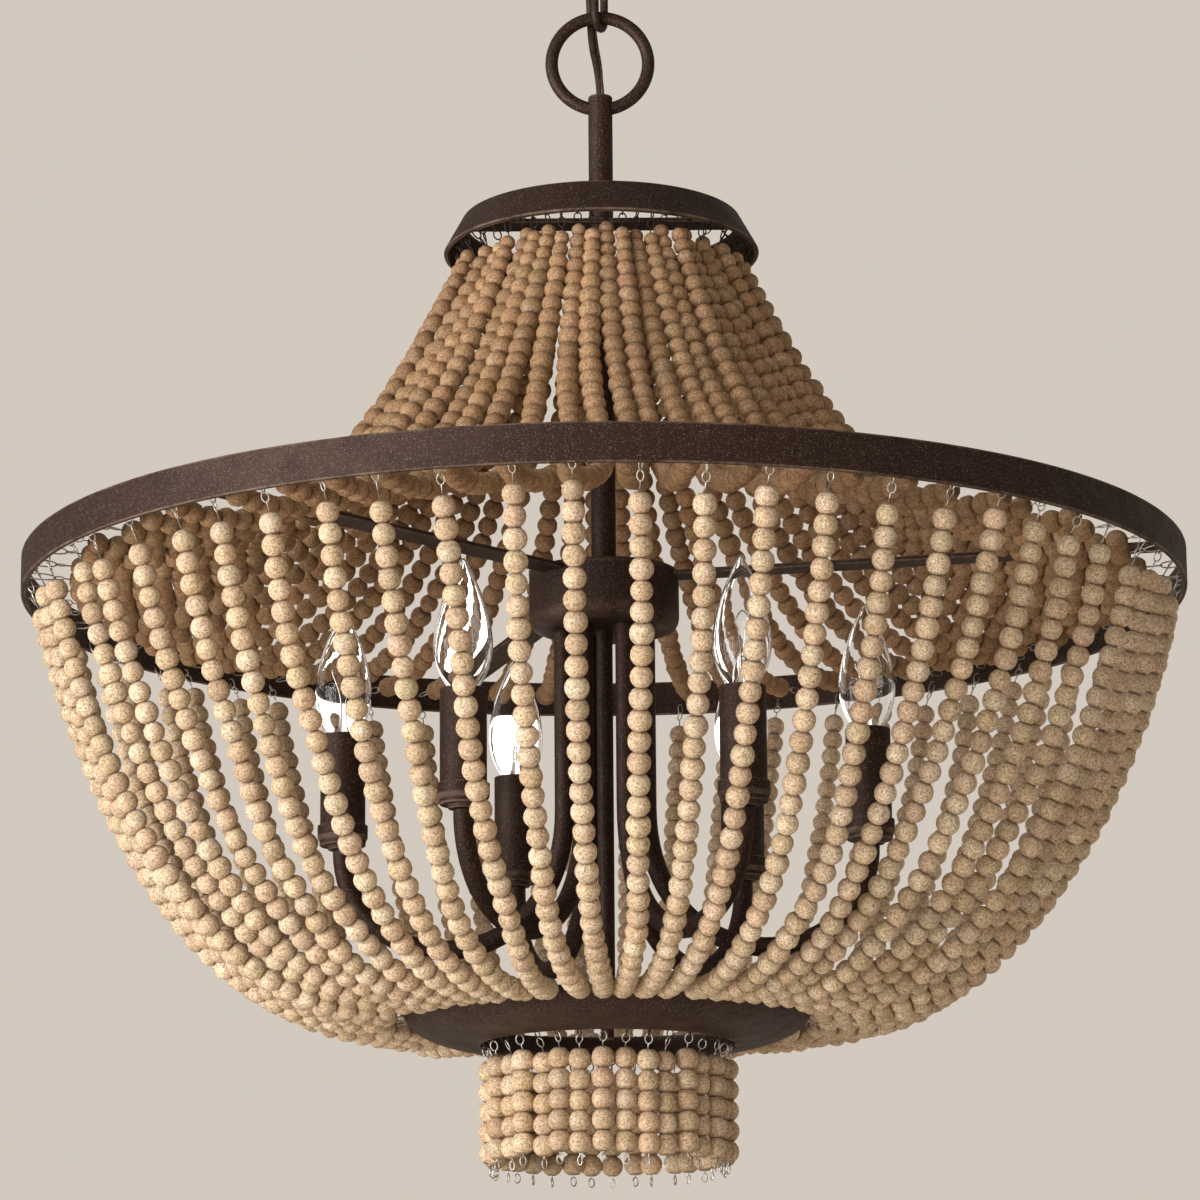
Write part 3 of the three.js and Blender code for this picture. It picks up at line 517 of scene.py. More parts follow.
# Dish: a shallow spun bowl with a wide hole in its floor. The bowl's strands end at its rim and the
# fringe hangs from its hole.
dish_rim, dish_hole, dish_deep, dish_wall, dish_bar_half = 0.123, 0.0766, 0.0205, 0.0016, 0.1203
dish_profile = np.vstack(spun_wall(dish_hole, dish_rim_z, dish_rim - dish_hole, dish_deep, dish_wall))
dish_rub = np.zeros((len(dish_profile), 1))
dish_rub[[0, -1, 24, 25]] = 1
bronze_piece("dish_shell", turned(dish_profile, 160), "dish", rub=dish_rub)
flat_bar("dish_crossbar_flat", -dish_bar_half, dish_bar_half, 0, dish_rim_z, "dish_crossbar")


# Six candle lights: a bent tube from under the hub, a turned cup, a plain sleeve over the socket, and
# a clear torpedo lamp
def bezier(pulls, t):
    """Cubic Bezier curve: (1-t)^3 A + 3t(1-t)^2 B + 3t^2(1-t) C + t^3 D."""
    t = np.asarray(t)[:, None]
    rest = 1 - t
    return rest**3 * pulls[0] + 3 * t * rest**2 * pulls[1] + 3 * t**2 * rest * pulls[2] + t**3 * pulls[3]


candle_circle, candle_turns = 0.16, (57, 111, 179, 239, 300, 358)
arm_circle, arm_radius = 0.025, 0.006
arm_start, arm_end = hub_floor - 0.0003, hoop_top - 0.1743
drop_foot = arm_start - 0.1102
arm_pulls = np.array([
    (arm_circle, drop_foot), (arm_circle, drop_foot - 0.112),
    (candle_circle, arm_end - 0.084), (candle_circle, arm_end),
])
arm_drop = np.column_stack([np.full(6, arm_circle), np.linspace(arm_start, drop_foot, 7)[:-1]])
arm_flat_line = np.vstack([arm_drop, bezier(arm_pulls, np.linspace(0, 1, 40))])
arm_line = np.column_stack([arm_flat_line[:, 0], np.zeros(len(arm_flat_line)), arm_flat_line[:, 1]])
arm_skin = carry(round_section(arm_radius, 20), arm_line, (0, 1, 0))

cup_foot, cup_neck, cup_radius, cup_inside = hoop_top - 0.174, 0.009, 0.0153, 0.0141
cup_top, cup_floor = cup_foot + 0.015, cup_foot + 0.0023
cup_outline, cup_rub = eased(
    [
        (0, cup_foot), (cup_neck, cup_foot), (cup_neck, cup_foot + 0.0026), (cup_radius, cup_foot + 0.006),
        (cup_radius, cup_top), (cup_inside, cup_top), (cup_inside, cup_floor), (0, cup_floor),
    ],
    [0, 0.0007, 0.0009, 0.0022, 0.0005, 0.0004, 0.001, 0],
)
sleeve_foot, sleeve_top, sleeve_bore, sleeve_radius = cup_foot + 0.0026, hoop_top - 0.103, 0.01225, 0.01375
sleeve_outline, sleeve_rub = eased(
    [
        (sleeve_bore, sleeve_foot), (sleeve_radius, sleeve_foot), (sleeve_radius, sleeve_top),
        (sleeve_bore, sleeve_top),
    ],
    [0.0003, 0.0004, 0.0006, 0.0005],
)

socket_finish = mottled_finish(
    "cream socket plastic", 70.0, (0.62, 0.55, 0.42, 1), (0.74, 0.68, 0.56, 1), (0.4, 0.55),
    Specular_IOR_Level=0.45,
)
socket_top, socket_floor, socket_radius, socket_bore = sleeve_top - 0.004, sleeve_top - 0.024, 0.01, 0.0069
socket_outline = eased(
    [
        (0, sleeve_foot), (socket_radius, sleeve_foot), (socket_radius, socket_top),
        (socket_bore, socket_top), (socket_bore, socket_floor), (0, socket_floor),
    ],
    [0, 0.001, 0.0008, 0.0006, 0.0005, 0],
)[0]

# Lamp: clear glass blown as a torpedo, on a nickel candelabra screw base. Inside stands a pressed
# glass stem with two lead wires and a coiled filament between them.
lamp_glass = finish_of(
    "clear lamp glass", Base_Color=(1, 1, 1, 1), Roughness=0.0, IOR=1.3, Transmission_Weight=1.0
)[0]
nickel_finish = mottled_finish(
    "nickel lamp base", 150.0, (0.52, 0.5, 0.46, 1), (0.72, 0.7, 0.66, 1), (0.16, 0.32), Metallic=1.0
)

lamp_foot = socket_floor + 0.0003
glass_foot, glass_wall = lamp_foot + 0.022, 0.0006
bulb_shape = np.array([
    (0.0066, -0.004), (0.0072, 0.0), (0.0098, 0.0035), (0.0131, 0.009), (0.0158, 0.016), (0.0172, 0.0235),
    (0.0173, 0.031), (0.016, 0.0405), (0.0134, 0.051), (0.0099, 0.061), (0.0062, 0.0695), (0.0034, 0.0755),
    (0.0016, 0.079), (0, 0.08),
])
glass_outside = smooth_line(bulb_shape, 60)
glass_outside[:, 0] = np.maximum(glass_outside[:, 0], 0)
glass_slope = unit(np.gradient(glass_outside, axis=0))
glass_inside = glass_outside + glass_wall * np.column_stack([-glass_slope[:, 1], glass_slope[:, 0]])
glass_inside = glass_inside[glass_inside[:, 0] > 0.0002][::-1]
glass_inside = np.vstack([(0, glass_inside[0, 1]), glass_inside])
glass_profile = np.vstack([glass_outside, glass_inside]) + (0, glass_foot)

thread_height, thread_turns, thread_ease = 0.00035, 7.5, 12
base_rows, base_angle = np.linspace(0, 1, 61), even_angles(36)
thread_part = np.clip(
    np.minimum((base_rows - 0.3) * thread_ease, (0.92 - base_rows) * thread_ease), 0, 1
)[:, None]
thread = thread_height * np.sin(2 * np.pi * base_rows[:, None] * thread_turns - base_angle) * thread_part
base_radius = np.interp(
    base_rows, [0, 0.02, 0.1, 0.16, 0.2, 0.28, 1], [0, 0.002, 0.0024, 0.0045, 0.0055, 0.0058, 0.0059]
)
base_reach = base_radius[:, None] + thread
base_height = np.interp(base_rows, [0, 0.02, 0.1, 0.16, 1], [0.0002, 0.0002, 0.0022, 0.0026, 0.022])[:, None]
base_grid = around(base_reach, base_height + lamp_foot, base_angle)
base_grid = np.concatenate([base_grid, np.broadcast_to([0, 0, base_grid[-1, 0, 2]], (1, 36, 3))])

stem_profile = smooth_line([
    (0, -0.003), (0.0052, -0.003), (0.0044, 0.002), (0.0027, 0.008), (0.0021, 0.016), (0.0017, 0.021),
    (0, 0.022),
], 28) + (0, glass_foot)
stem_profile[:, 0] = np.maximum(stem_profile[:, 0], 0)
lead_route = np.array([
    (0.0013, 0, 0.012), (0.0014, 0, 0.022), (0.003, 0, 0.03), (0.0065, 0, 0.04), (0.0068, 0, 0.0425),
])
lead_lines = [smooth_line(lead_route * (side, 1, 1), 16) + (0, 0, glass_foot) for side in (-1, 1)]
coil_share, coil_radius, coil_count = np.linspace(0, 1, 181), 0.0005, 36
coil_angle = coil_share * coil_count * 2 * np.pi
filament_half, filament_foot, filament_rise = 0.0068, 0.0425, 0.004
filament_line = np.column_stack([
    filament_half * (2 * coil_share - 1), coil_radius * np.sin(coil_angle),
    filament_foot + filament_rise * np.sin(np.pi * coil_share) + coil_radius * np.cos(coil_angle),
]) + (0, 0, glass_foot)
lead_radius, filament_radius = 0.0003, 0.00012

for number, candle_turn in enumerate(candle_turns, start=1):
    def on_candle(grid, circle=candle_circle, turn=candle_turn):
        """Moves a shape made on the axis out to its candle: outward by the circle, then round."""
        return about_axis(grid.reshape(-1, 3) + (circle, 0, 0), turn).reshape(grid.shape)

    body = f"bulb_body_{number}"
    bronze_piece(f"arm_tube_{number}", on_candle(arm_skin, 0), f"arm_{number}")
    cup_skin, sleeve_skin = on_candle(turned(cup_outline, 48)), on_candle(turned(sleeve_outline, 48))
    bronze_piece(f"cup_turned_{number}", cup_skin, f"cup_{number}", rub=cup_rub)
    bronze_piece(f"sleeve_tube_{number}", sleeve_skin, f"candle_sleeve_{number}", rub=sleeve_rub)
    lamp_socket = skin(f"socket_body_{number}", on_candle(turned(socket_outline, 40)), socket_finish)
    set_piece(lamp_socket, "fixture", "socket", f"socket_{number}")
    glass = skin(f"lamp_glass_{number}", on_candle(turned(glass_profile, 48)), lamp_glass, sharp=60)
    set_piece(glass, body, "glass", f"bulb_{number}")
    set_piece(skin(f"lamp_base_{number}", on_candle(base_grid), nickel_finish, sharp=60), body, "steel")
    pressed_stem = skin(f"lamp_stem_{number}", on_candle(turned(stem_profile, 20)), lamp_glass, sharp=60)
    set_piece(pressed_stem, body, "glass")
    for side, lead in zip("ab", lead_lines):
        lead_skin = carry(round_section(lead_radius, 6), lead, (0, 1, 0))
        set_piece(skin(f"lamp_lead_{number}{side}", on_candle(lead_skin), nickel_finish), body, "steel")
    filament_skin = carry(round_section(filament_radius, 4), filament_line, (0, 0, 1))
    set_piece(skin(f"lamp_filament_{number}", on_candle(filament_skin), nickel_finish), body, "steel")


# Beads: turned from pale wood and tumbled, about 14 mm across, with a drilled hole and slightly
# flattened ends. Their cream to tan skin is densely speckled with brown.
bead_finish, tree, shader = finish_of("speckled bead wood", Specular_IOR_Level=0.3)
place, cloud = tone_of(tree, 170.0)
wood = node(tree, "Attribute", attribute_name="wood_colour").outputs["Color"]
grain = node(
    tree, "TexNoise", {"Vector": place, "Scale": 850.0, "Detail": 3.0, "Roughness": 0.7}
).outputs[0]
speckle = node(tree, "MapRange", {0: grain, 1: 0.4, 2: 0.6}).outputs[0]
speckled = mixed(tree, speckle, (0.66, 0.56, 0.45, 1), (1.19, 1.19, 1.18, 1))
clouded = mixed(tree, cloud, (0.84, 0.79, 0.72, 1), (1.08, 1.08, 1.08, 1))
skin_tone = mixed(tree, 1.0, mixed(tree, 1.0, wood, speckled, "MULTIPLY"), clouded, "MULTIPLY")
specks = fleck_mask_of(tree, place, Scale=850.0, Size=0.6, Share=0.5)
specked = mixed(tree, worked(tree, "MULTIPLY", specks, 0.6), skin_tone, (0.17, 0.09, 0.04, 1))
# Painted shade: each bead darkens towards dark brown at its ends and end discs. This stands in for the shade
# in the grooves between touching beads and in the drilled hole.
groove_shade = node(tree, "Attribute", attribute_name="painted_groove_shade").outputs["Fac"]
shaded_end = node(tree, "MapRange", {0: groove_shade, 1: 0.25, 2: 1.0, 3: 0.0, 4: 0.6}).outputs[0]
tree.links.new(mixed(tree, shaded_end, specked, (0.1, 0.055, 0.028, 1)), shader.inputs["Base Color"])
matt = node(tree, "MapRange", {0: cloud, 3: 0.72, 4: 0.56})
tree.links.new(matt.outputs[0], shader.inputs["Roughness"])
raised_grain = worked(tree, "SUBTRACT", grain, specks)
pitted = node(tree, "Bump", {"Strength": 0.35, "Distance": 0.0002, "Height": raised_grain})
tree.links.new(pitted.outputs[0], shader.inputs["Normal"])

draw = np.random.default_rng(7)
bead_woods = np.array([
    (0.69, 0.57, 0.43), (0.67, 0.54, 0.4), (0.63, 0.5, 0.36), (0.66, 0.52, 0.39), (0.65, 0.535, 0.385),
    (0.73, 0.62, 0.48),
])


def string_along(line, widths, pitches):
    """Sets beads one after another along a line by arc length; gives places, directions and sizes."""
    near, last_part = 0.002, 0.4
    step = np.linalg.norm(np.diff(line, axis=0), axis=1)
    travelled = np.concatenate([[0], np.cumsum(step)])
    ends = np.cumsum(pitches)
    keep = ends <= travelled[-1] + last_part * pitches[-1]
    middle = (ends - pitches / 2)[keep]
    back, centre, ahead = (
        np.column_stack([np.interp(middle + move, travelled, line[:, k]) for k in range(3)])
        for move in (-near, 0, near)
    )
    return centre, unit(ahead - back), widths[keep], pitches[keep]


def ends_of(strings):
    """Where each string's first bead begins and its last bead ends."""
    begin = [centre[0] - along[0] * length[0] / 2 for centre, along, width, length in strings]
    finish = [centre[-1] + along[-1] * length[-1] / 2 for centre, along, width, length in strings]
    return np.array(begin), np.array(finish)


def tube_faces(rows, sides):
    """Corner numbers of a tube's quads, row after row, and of the faces that close its two ends."""
    number = np.arange(rows * sides).reshape(rows, sides)
    beside = np.roll(number, -1, axis=1)
    quads = np.stack([number[:-1], beside[:-1], beside[1:], number[1:]], -1).reshape(-1, 4)
    return quads, number[0, ::-1], number[-1]


def strung_beads(name, strings, tint, construction):
    """Beads on strings: rings of radius (w/2) cos f at (w/2) sin f from the centre, with sin F = l/w.

    Each bead has 11 sides, a few degrees of tilt and its own turn, and both ends close on a flat disc.
    """
    centre, along, width, length = (np.concatenate(values) for values in zip(*strings))
    overlap, sides, tilt, roundest, upright = 1.01, 11, 0.035, 0.96, 0.8
    count, length = len(centre), length * overlap
    along = unit(along + draw.normal(0, tilt, along.shape))
    helper = np.where(np.abs(along[:, 2:]) < upright, [[0, 0, 1.0]], [[1.0, 0, 0]])
    first = unit(np.cross(along, helper))
    second = np.cross(along, first)
    widest = np.arcsin(np.minimum(length / width, roundest))[:, None]
    rise = widest * np.array([-1, -0.68, -0.34, 0, 0.34, 0.68, 1])
    spin = draw.uniform(0, 2 * np.pi, (count, 1)) + even_angles(sides)
    reach = (width[:, None] / 2 * np.cos(rise))[..., None, None]
    offset = (width[:, None] / 2 * np.sin(rise))[..., None, None]
    ring = np.cos(spin)[..., None] * first[:, None] + np.sin(spin)[..., None] * second[:, None]
    corners = centre[:, None, None] + offset * along[:, None, None] + reach * ring[:, None]
    per_bead = rise.shape[1] * sides
    quads, *discs = tube_faces(rise.shape[1], sides)
    one_bead = np.concatenate([quads.ravel(), *discs])
    sizes = np.concatenate([np.full(len(quads), 4), [sides, sides]])
    loops = (one_bead[None] + np.arange(count)[:, None] * per_bead).ravel()
    starts = np.concatenate([[0], np.cumsum(np.tile(sizes, count))[:-1]])
    mesh = bpy.data.meshes.new(name)
    mesh.vertices.add(count * per_bead)
    mesh.vertices.foreach_set("co", corners.ravel())
    mesh.loops.add(len(loops))
    mesh.loops.foreach_set("vertex_index", loops.astype(np.int32))
    mesh.polygons.add(len(starts))
    mesh.polygons.foreach_set("loop_start", starts.astype(np.int32))
    mesh.update(calc_edges=True)
    tint = np.broadcast_to(tint, (len(strings), 3))
    tint = np.repeat(tint, [len(string[0]) for string in strings], axis=0)
    shade = bead_woods[draw.integers(0, len(bead_woods), count)] * tint
    shade = shade * draw.normal(1, 0.055, (count, 1)) * draw.normal(1, 0.01, (count, 3))
    colour = np.ones((count, per_bead, 4))
    colour[..., :3] = np.clip(shade, 0, 0.9)[:, None]
    mesh.attributes.new("wood_colour", "FLOAT_COLOR", "POINT").data.foreach_set("color", colour.ravel())
    # Painted shade at each bead's ends: full on the end discs' rims, a little on the next ring, none in the
    # middle.
    end = np.repeat([1.0, 0.1, 0, 0, 0, 0.1, 1.0], sides)
    mesh.attributes.new("painted_groove_shade", "FLOAT", "POINT").data.foreach_set("value", np.tile(end, count))
    set_piece(as_piece(name, mesh, bead_finish), "fixture", "beads", construction)


# Bead wires: 0.9 mm tinned steel. Each string ends in a stem with an eye, and a link through the eye
# hooks it to the metal.
wire_finish = mottled_finish(
    "tinned bead wire", 160.0, (0.4, 0.34, 0.28, 1), (0.85, 0.82, 0.76, 1), (0.25, 0.4), Metallic=0.7
)


def wires(name, paths, normals, finish=wire_finish):
    """Wires as four-sided tubes: path + radius * (cos a * normal + sin a * (tangent x normal))."""
    radius, sides = 0.00045, 4
    count, steps = paths.shape[:2]
    lift = np.cross(unit(np.gradient(paths, axis=1)), normals[:, None])
    angle = even_angles(sides)[:, None]
    corners = paths[:, :, None] + radius * (
        np.cos(angle) * normals[:, None, None] + np.sin(angle) * lift[:, :, None]
    )
    quads, *ends = tube_faces(steps, sides)
    quads = np.vstack([quads, *ends])
    quads = (quads + np.arange(count)[:, None, None] * steps * sides).reshape(-1, 4)
    mesh = bpy.data.meshes.new(name)
    mesh.from_pydata(corners.reshape(-1, 3), [], quads)
    set_piece(as_piece(name, mesh, finish), "fixture", "steel")


def hook_up(name, hook, bead_end, swing, eye_place=0.0065, eye_finish=wire_finish, link_finish=wire_finish):
    """Stem and eye of each string's end, and the link from the eye to the hook in the metal.

    The eye is an oval on the line from hook to bead, and the link is a long oval in the plane across it.
    """
    eye_long, eye_wide, link_wide, link_hold = 0.003, 0.0023, 0.002, 0.001
    stem_room, stem_depth, bar_reach = 0.0015, 0.002, 0.0006
    along = bead_end - hook
    distance = np.linalg.norm(along, axis=1, keepdims=True)
    along = along / distance
    level = unit(np.cross(along, [0, 0, 1.0]))
    across = level * np.cos(swing)[:, None] + np.cross(along, level) * np.sin(swing)[:, None]
    third = np.cross(along, across)
    eye_middle = bead_end - along * np.minimum(eye_place, distance - stem_room)
    turn = np.linspace(0, 2 * np.pi, 11)[:, None]
    eye = eye_long * np.cos(turn) * along[:, None] + eye_wide * np.sin(turn) * across[:, None]
    stem = (bead_end + stem_depth * along)[:, None]
    wires(f"{name}_eyes", np.concatenate([stem, eye_middle[:, None] + eye], axis=1), third, eye_finish)
    link_start, link_end = hook - bar_reach * along, eye_middle - (eye_long - link_hold) * along
    half = np.linalg.norm(link_end - link_start, axis=1)[:, None, None] / 2
    link = half * np.cos(turn) * along[:, None] + link_wide * np.sin(turn) * third[:, None]
    wires(f"{name}_links", (link_start + link_end)[:, None] / 2 + link, across, link_finish)


# Bowl strands: 60 strings of about 31 beads from the hoop's inner face, down under the lights in one
# long curve, to the dish's rim. Each hangs a little differently in its length and its place.
strand_count, group_size, line_steps, bead_width, bead_pitch = 60, 20, 120, 0.0135, 0.0122
bowl_most, bowl_angles = 34, 3 + 6.0 * np.arange(strand_count)
bowl_pulls = np.array([(0.344, -0.030), (0.3240, -0.1199), (0.2502, -0.2992), (0.12925, -0.277)])
photo_side = 1200

# pixels of the photograph that each front strand passes, from its top bead down
front_strand_pixels = {
    37: [(203, 631), (225, 712), (240, 755), (268, 838), (300, 894), (333, 945)],
    38: [(222, 534), (244, 644), (272, 751), (307, 852), (361, 935)],
    39: [(271, 524), (288, 635), (321, 756), (358, 863), (394, 932)],
    40: [(328, 512), (345, 644), (366, 753), (396, 856), (434, 943)],
    41: [(381, 511), (400, 647), (417, 755), (440, 861), (463, 932), (512, 988)],
    42: [(444, 508), (460, 643), (471, 753), (492, 858), (512, 928), (548, 990)],
    43: [(514, 494), (520, 653), (528, 744), (539, 849), (553, 936), (578, 986)],
    44: [(573, 491), (576, 649), (579, 757), (586, 862), (592, 928), (602, 978)],
    45: [(640, 503), (642, 640), (639, 751), (638, 857), (637, 926), (627, 978)],
    46: [(705, 506), (702, 640), (694, 752), (684, 858), (673, 927), (644, 989)],
    47: [(767, 497), (756, 640), (743, 754), (729, 850), (705, 936), (670, 986)],
    48: [(827, 503), (814, 639), (800, 750), (779, 856), (753, 926)],
    49: [(887, 515), (872, 648), (853, 757), (828, 862), (793, 928)],
    50: [(896, 758), (861, 860), (828, 930)],
}


def round_the_axis(radius, height, degrees):
    """Points (radius, z) at an angle round the upright axis."""
    return around(radius, height, np.radians(degrees))


def on_photo(points):
    """Pixel of a point: half the side plus the side times lens / sensor times its sideways / ahead."""
    turn = np.array(photo_camera.matrix_world)
    seen_from = (points - turn[:3, 3]) @ turn[:3, :3]
    spread = photo_side * photo_camera.data.lens / photo_camera.data.sensor_width
    sideways = spread * seen_from[..., :2] / -seen_from[..., 2:]
    return photo_side / 2 + sideways * (1, -1)


def read_off(pixels, degrees):
    """For each pixel the share along the bowl's curve and the angle that come nearest to it."""
    shares, angles = np.linspace(-0.03, 1, 207), degrees + np.linspace(-4, 4, 161)
    curve = bezier(bowl_pulls, shares)
    reach = np.repeat(curve[:, :1], len(angles), axis=1)
    seen = on_photo(round_the_axis(reach, curve[:, 1:] + hoop_top, angles))
    miss = np.linalg.norm(seen - np.array(pixels, float)[:, None, None], axis=-1).reshape(len(pixels), -1)
    nearest = miss.argmin(axis=1)
    return shares[nearest // len(angles)], angles[nearest % len(angles)]


bowl_strings, bowl_top_angles, bowl_foot_angles = [], [], []
for k, degrees in enumerate(bowl_angles):
    if k in front_strand_pixels:
        known_shares, known_angles = read_off(front_strand_pixels[k], degrees)
        first_share = known_shares[0] - 0.022 if known_shares[0] < 0.1 else 0.012
        pulls = bowl_pulls
    else:
        known_shares = np.linspace(0, 1, 4)
        known_angles = degrees + draw.normal(0.3, 0.45) + draw.normal(0, 0.3, 4)
        first_share = draw.uniform(-0.006, 0.025)
        slack = [(0.001, 0), (0.003, 0.003), (0.003, 0.003), (0, 0.001)]
        pulls = bowl_pulls + draw.normal(0, 1, (4, 2)) * slack
    share = np.linspace(first_share, 1, line_steps)
    way = smooth_line(np.column_stack([known_shares, known_angles]), 60)
    flat = bezier(pulls, share)
    line = round_the_axis(flat[:, 0], flat[:, 1] + hoop_top, np.interp(share, way[:, 0], way[:, 1]))
    widths = bead_width * draw.normal(1, 0.025, bowl_most)
    pitches = bead_pitch * draw.normal(1, 0.03, bowl_most)
    bowl_strings.append(string_along(line, widths, pitches))
    bowl_top_angles.append(np.interp(first_share, way[:, 0], way[:, 1]))
    bowl_foot_angles.append(way[-1, 1])
for number in (1, 2, 3):
    strands = bowl_strings[group_size * (number - 1):group_size * number]
    strung_beads(f"bowl_beads_{number}", strands, (1, 1, 1), f"bowl_strands_{number}")

hook_seat, rim_seat, bowl_hook_z, rim_hook_z = 0.0003, 0.0004, hoop_top - 0.017, dish_rim_z - 0.0006
hoop_inner = np.full(strand_count, hoop_radius - hoop_wall - hook_seat)
dish_outer = np.full(strand_count, dish_rim + rim_seat)
bowl_tops, bowl_feet = ends_of(bowl_strings)
top_hooks = round_the_axis(hoop_inner, bowl_hook_z, bowl_top_angles)
hook_up("bowl_top", top_hooks, bowl_tops, draw.normal(0.2, 0.5, strand_count), eye_place=0.009)
rim_hooks = round_the_axis(dish_outer, rim_hook_z, bowl_foot_angles)
hook_up("bowl_foot", rim_hooks, bowl_feet, draw.normal(0.2, 0.5, strand_count))

# Crown strands: 60 strings that fan from inside the top band and sag out to the hoop, 20 in each
# space between two spokes. Near the band they crowd two deep, with smaller beads at their tops.
crown_angles = np.concatenate([first + 4 + 5.895 * np.arange(group_size) for first in (-13, 107, 227)])
crown_start, crown_end, crown_foot_z, crown_top_z, layer_depth = 0.0846, 0.331, -0.0135, 0.1915, 0.0028
curl, lowest, lean_degrees, lean_width, most_lean, layer_fade, crown_most = 1.78, 0.1, 263, 11, 4.4, 2.6, 40
small_width, width_growth, small_pitch, pitch_growth, growing_beads = 0.0096, 0.004, 0.0086, 0.0036, 5
crown_strings = []
for k, degrees in enumerate(crown_angles):
    share = np.linspace(0, 1, line_steps)
    sag = 1 + draw.normal(0, 0.05)
    low = np.cosh(curl * sag * lowest)
    rise = (np.cosh(curl * sag * (1 - share - lowest)) - low) / (np.cosh(curl * sag * (1 - lowest)) - low)
    layer = (-1) ** k * layer_depth * np.clip(1 - layer_fade * share, 0, 1) + draw.normal(0, 0.0008)
    radius = crown_start + share * (crown_end - crown_start) + layer
    top = crown_top_z + draw.uniform(-0.004, 0.002) + 0.003 * (k % 2)
    height = crown_foot_z + (top - crown_foot_z) * rise
    lean = most_lean * np.exp(-(((degrees - lean_degrees) / lean_width) ** 2)) * np.sin(np.pi * share) ** 4
    sway = degrees + lean + draw.normal(0, 0.35)
    sway = sway + draw.normal(0, 0.5) * np.sin(np.pi * share)
    line = round_the_axis(radius, height + hoop_top, sway)
    grow = np.clip(np.arange(crown_most) / growing_beads, 0, 1)
    widths = (small_width + width_growth * grow) * draw.normal(1, 0.04, crown_most)
    pitches = (small_pitch + pitch_growth * grow) * draw.normal(1, 0.03, crown_most)
    crown_strings.append(string_along(line, widths, pitches))
for number in (1, 2, 3):
    strands = crown_strings[group_size * (number - 1):group_size * number]
    # Painted shade: the crown's beads are the same wood as the bowl's. This darker, browner tint stands in
    # for the lesser light that reaches the crown.
    tones = draw.normal(1, 0.11, (group_size, 1)) * (0.62, 0.5, 0.4)
    strung_beads(f"crown_beads_{number}", strands, tones, f"crown_strands_{number}")

crown_tops, crown_feet = ends_of(crown_strings)
band_hook_z, band_inner, hoop_hook_z = hoop_top + 0.2043, 0.0924, hoop_top - 0.0125
band_hooks = round_the_axis(np.full(strand_count, band_inner), band_hook_z, crown_angles)
swing = draw.normal(0, 0.6, strand_count)
# Painted shade: these eyes and links are the same tinned wire as the others. The dark bronze coat on them
# stands in for the shade inside the top band.
hook_up("crown_top", band_hooks, crown_tops, swing, eye_finish=bronze_finish, link_finish=bronze_finish)
hoop_hooks = round_the_axis(hoop_inner, hoop_hook_z, crown_angles)
hook_up("crown_foot", hoop_hooks, crown_feet, draw.normal(0, 0.6, strand_count))

# Fringe: 34 short strings of five beads, wired inside the dish's hole, each with a small wire loop
# under its last bead
fringe_count, beads_each, fringe_long, fringe_width = 34, 5, 0.061, 0.014
fringe_circle, fringe_top_z, lip_seat, lip_hook_z = 0.0703, hoop_top - 0.3045, 0.0012, hoop_top - 0.2937
fringe_angles = -92 + 360 / fringe_count * np.arange(fringe_count)
fringe_row = 0.0012 * (-1.0) ** np.arange(fringe_count)
fringe_radius = fringe_circle + fringe_row + draw.normal(0, 0.0006, fringe_count)
fringe_top = fringe_top_z + draw.normal(0, 0.0007, fringe_count)
fringe_sway = fringe_angles + draw.normal(0, 0.6, fringe_count)
fringe_tops = round_the_axis(fringe_radius, fringe_top, fringe_sway)
fringe_feet = round_the_axis(fringe_radius, fringe_top - fringe_long, fringe_sway)
fringe_strings = []
for string_ends in zip(fringe_tops, fringe_feet):
    widths = fringe_width * draw.normal(1, 0.02, beads_each)
    fringe_strings.append(string_along(np.array(string_ends), widths, np.full(beads_each, bead_pitch)))
tones = draw.normal(0.95, 0.1, (fringe_count, 1)) * (0.96, 0.93, 0.9)
strung_beads("fringe_beads", fringe_strings, tones, "fringe_strands")

lip_hooks = round_the_axis(np.full(fringe_count, dish_hole - lip_seat), lip_hook_z, fringe_angles)
swing = draw.normal(0, 0.6, fringe_count)
# Painted shade: the fringe's links are the same tinned wire as the others. The dark bronze coat on them
# stands in for the shade under the dish.
hook_up("fringe", lip_hooks, fringe_tops, swing, link_finish=bronze_finish)
tail_turn, tail_drop = draw.uniform(0, np.pi, fringe_count), np.array([0, 0, -1.0])
tail_side = np.column_stack([np.cos(tail_turn), np.sin(tail_turn), np.zeros(fringe_count)])
tail_middle, tail_wide, tail_high = 0.0044, 0.0018, 0.0028
loop_turn = np.linspace(-0.5 * np.pi, 1.5 * np.pi, 11)[:, None]
tail_eye = (
    fringe_feet[:, None] + tail_drop * tail_middle + tail_wide * np.cos(loop_turn) * tail_side[:, None]
    + tail_high * np.sin(loop_turn) * tail_drop
)
tails = np.concatenate([np.stack([fringe_feet + (0, 0, 0.002), fringe_feet], 1), tail_eye], 1)
wires("fringe_tails", tails, np.cross(tail_side, tail_drop))

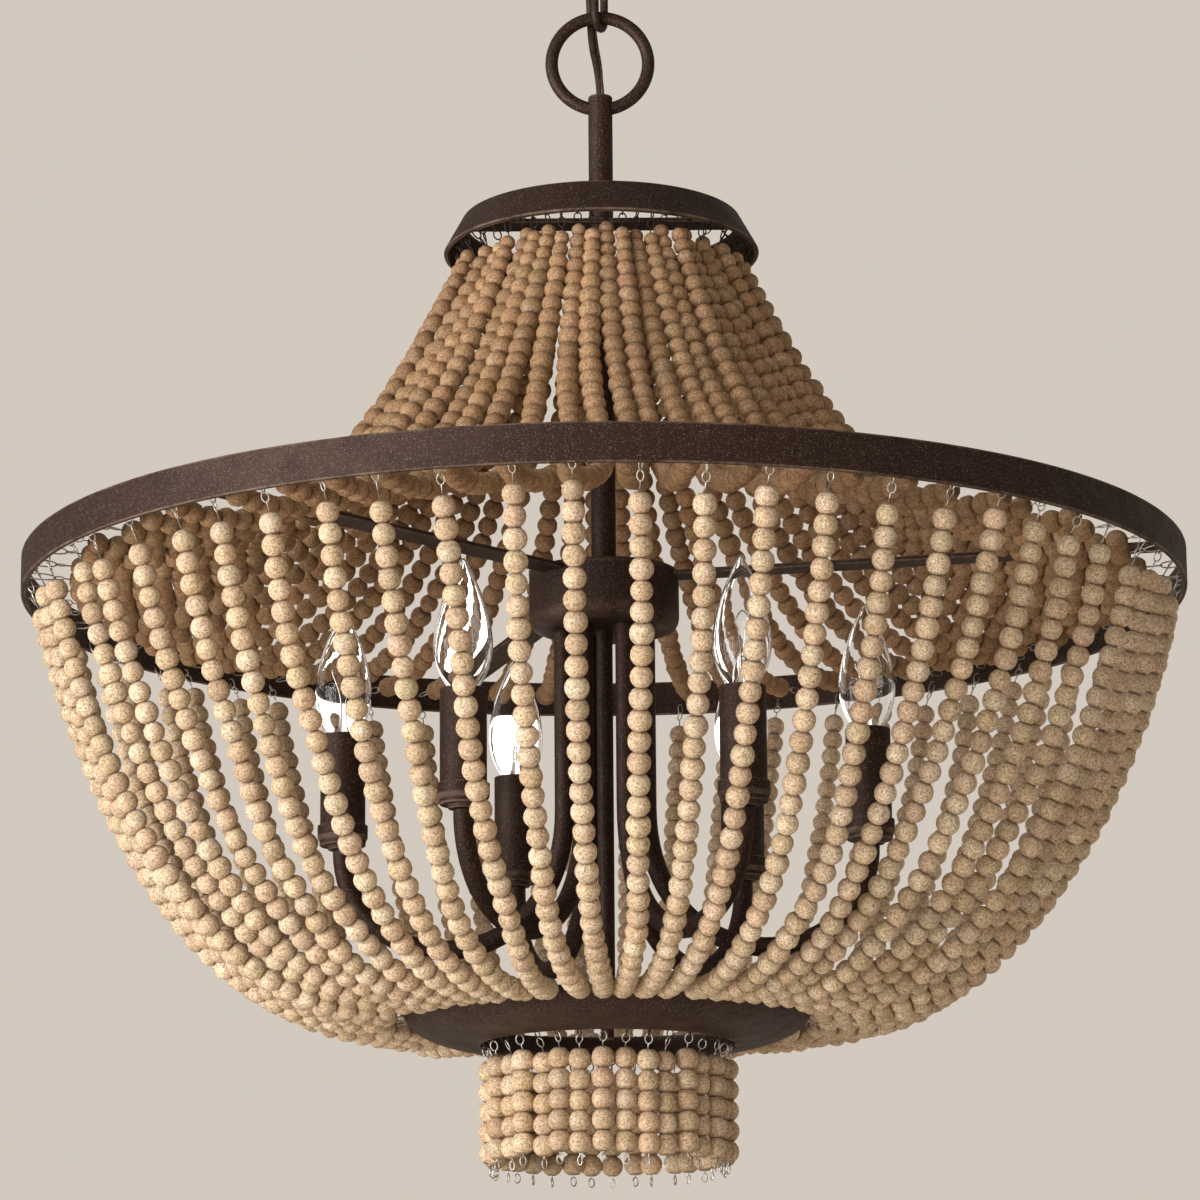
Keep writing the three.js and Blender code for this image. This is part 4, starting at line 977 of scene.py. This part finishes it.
# Room: a pale floor well below the light, and soft studio light round it, strongest from the left
# and front as the window gives it
pale_wall = (0.65, 0.585, 0.515, 1)
floor_finish, tree, shader = finish_of("pale plaster floor", Roughness=0.9, Base_Color=(0.72, 0.66, 0.58, 1))
looked_at = node(tree, "LightPath").outputs["Is Camera Ray"]
glow = node(tree, "Emission", {"Color": pale_wall, "Strength": 1.0}).outputs[0]
paler = worked(tree, "MULTIPLY", looked_at, 0.8)
floor_blend = node(tree, "MixShader", {0: paler, 1: shader.outputs[0], 2: glow})
tree.links.new(floor_blend.outputs[0], tree.nodes["Material Output"].inputs["Surface"])
floor_half, floor_z = 30, -1.9
floor_mesh = bpy.data.meshes.new("pale_floor")
floor_corners = [(x * floor_half, y * floor_half, floor_z) for x, y in ((-1, -1), (1, -1), (1, 1), (-1, 1))]
floor_mesh.from_pydata(floor_corners, [], [(0, 1, 2, 3)])
floor_mesh.materials.append(floor_finish)
pale_floor = bpy.data.objects.new("pale_floor", floor_mesh)
bpy.context.scene.collection.objects.link(pale_floor)

world = bpy.data.worlds.new("soft_room")
world.use_nodes = True
bpy.context.scene.world = world
tree = world.node_tree
ray = node(tree, "LightPath").outputs
seen = worked(tree, "MAXIMUM", ray["Is Camera Ray"], ray["Is Transmission Ray"])
lit = node(tree, "Background", {"Color": (1.0, 0.91, 0.81, 1), "Strength": 0.24}).outputs[0]
pale = node(tree, "Background", {"Color": pale_wall, "Strength": 1.0}).outputs[0]
blend = node(tree, "MixShader", {0: seen, 1: lit, 2: pale})
tree.links.new(blend.outputs[0], tree.nodes["World Output"].inputs["Surface"])
lit_middle = np.array([0, 0, -0.55])


def soft_lamp(name, place, size, power, colour, mirrored=False):
    """A square area lamp that faces the middle of the light; glass and metal mirror only the window."""
    lamp = bpy.data.lights.new(name, "AREA")
    lamp.size, lamp.energy, lamp.color = size, power, colour
    holder = bpy.data.objects.new(name, lamp)
    holder.visible_glossy = mirrored
    forward = unit(lit_middle - place)
    right = unit(np.cross(forward, [0, 0, 1.0]))
    upward = np.cross(right, forward)
    turn = np.eye(4)
    turn[:3, :3] = np.column_stack([right, upward, -forward])
    turn[:3, 3] = place
    holder.matrix_world = Matrix(turn)
    bpy.context.scene.collection.objects.link(holder)


soft_lamp("window_light", (-2.6, -1.9, -0.9), 3.0, 168, (1.0, 0.985, 0.97), mirrored=True)
soft_lamp("front_light", (-0.6, -3.3, -0.6), 1.4, 24, (1.0, 0.96, 0.9))
soft_lamp("right_light", (2.7, 1.3, -0.5), 1.8, 22, (1.0, 0.95, 0.89))
soft_lamp("back_light", (-0.8, 3.1, -0.3), 1.8, 26, (1.0, 0.97, 0.93))
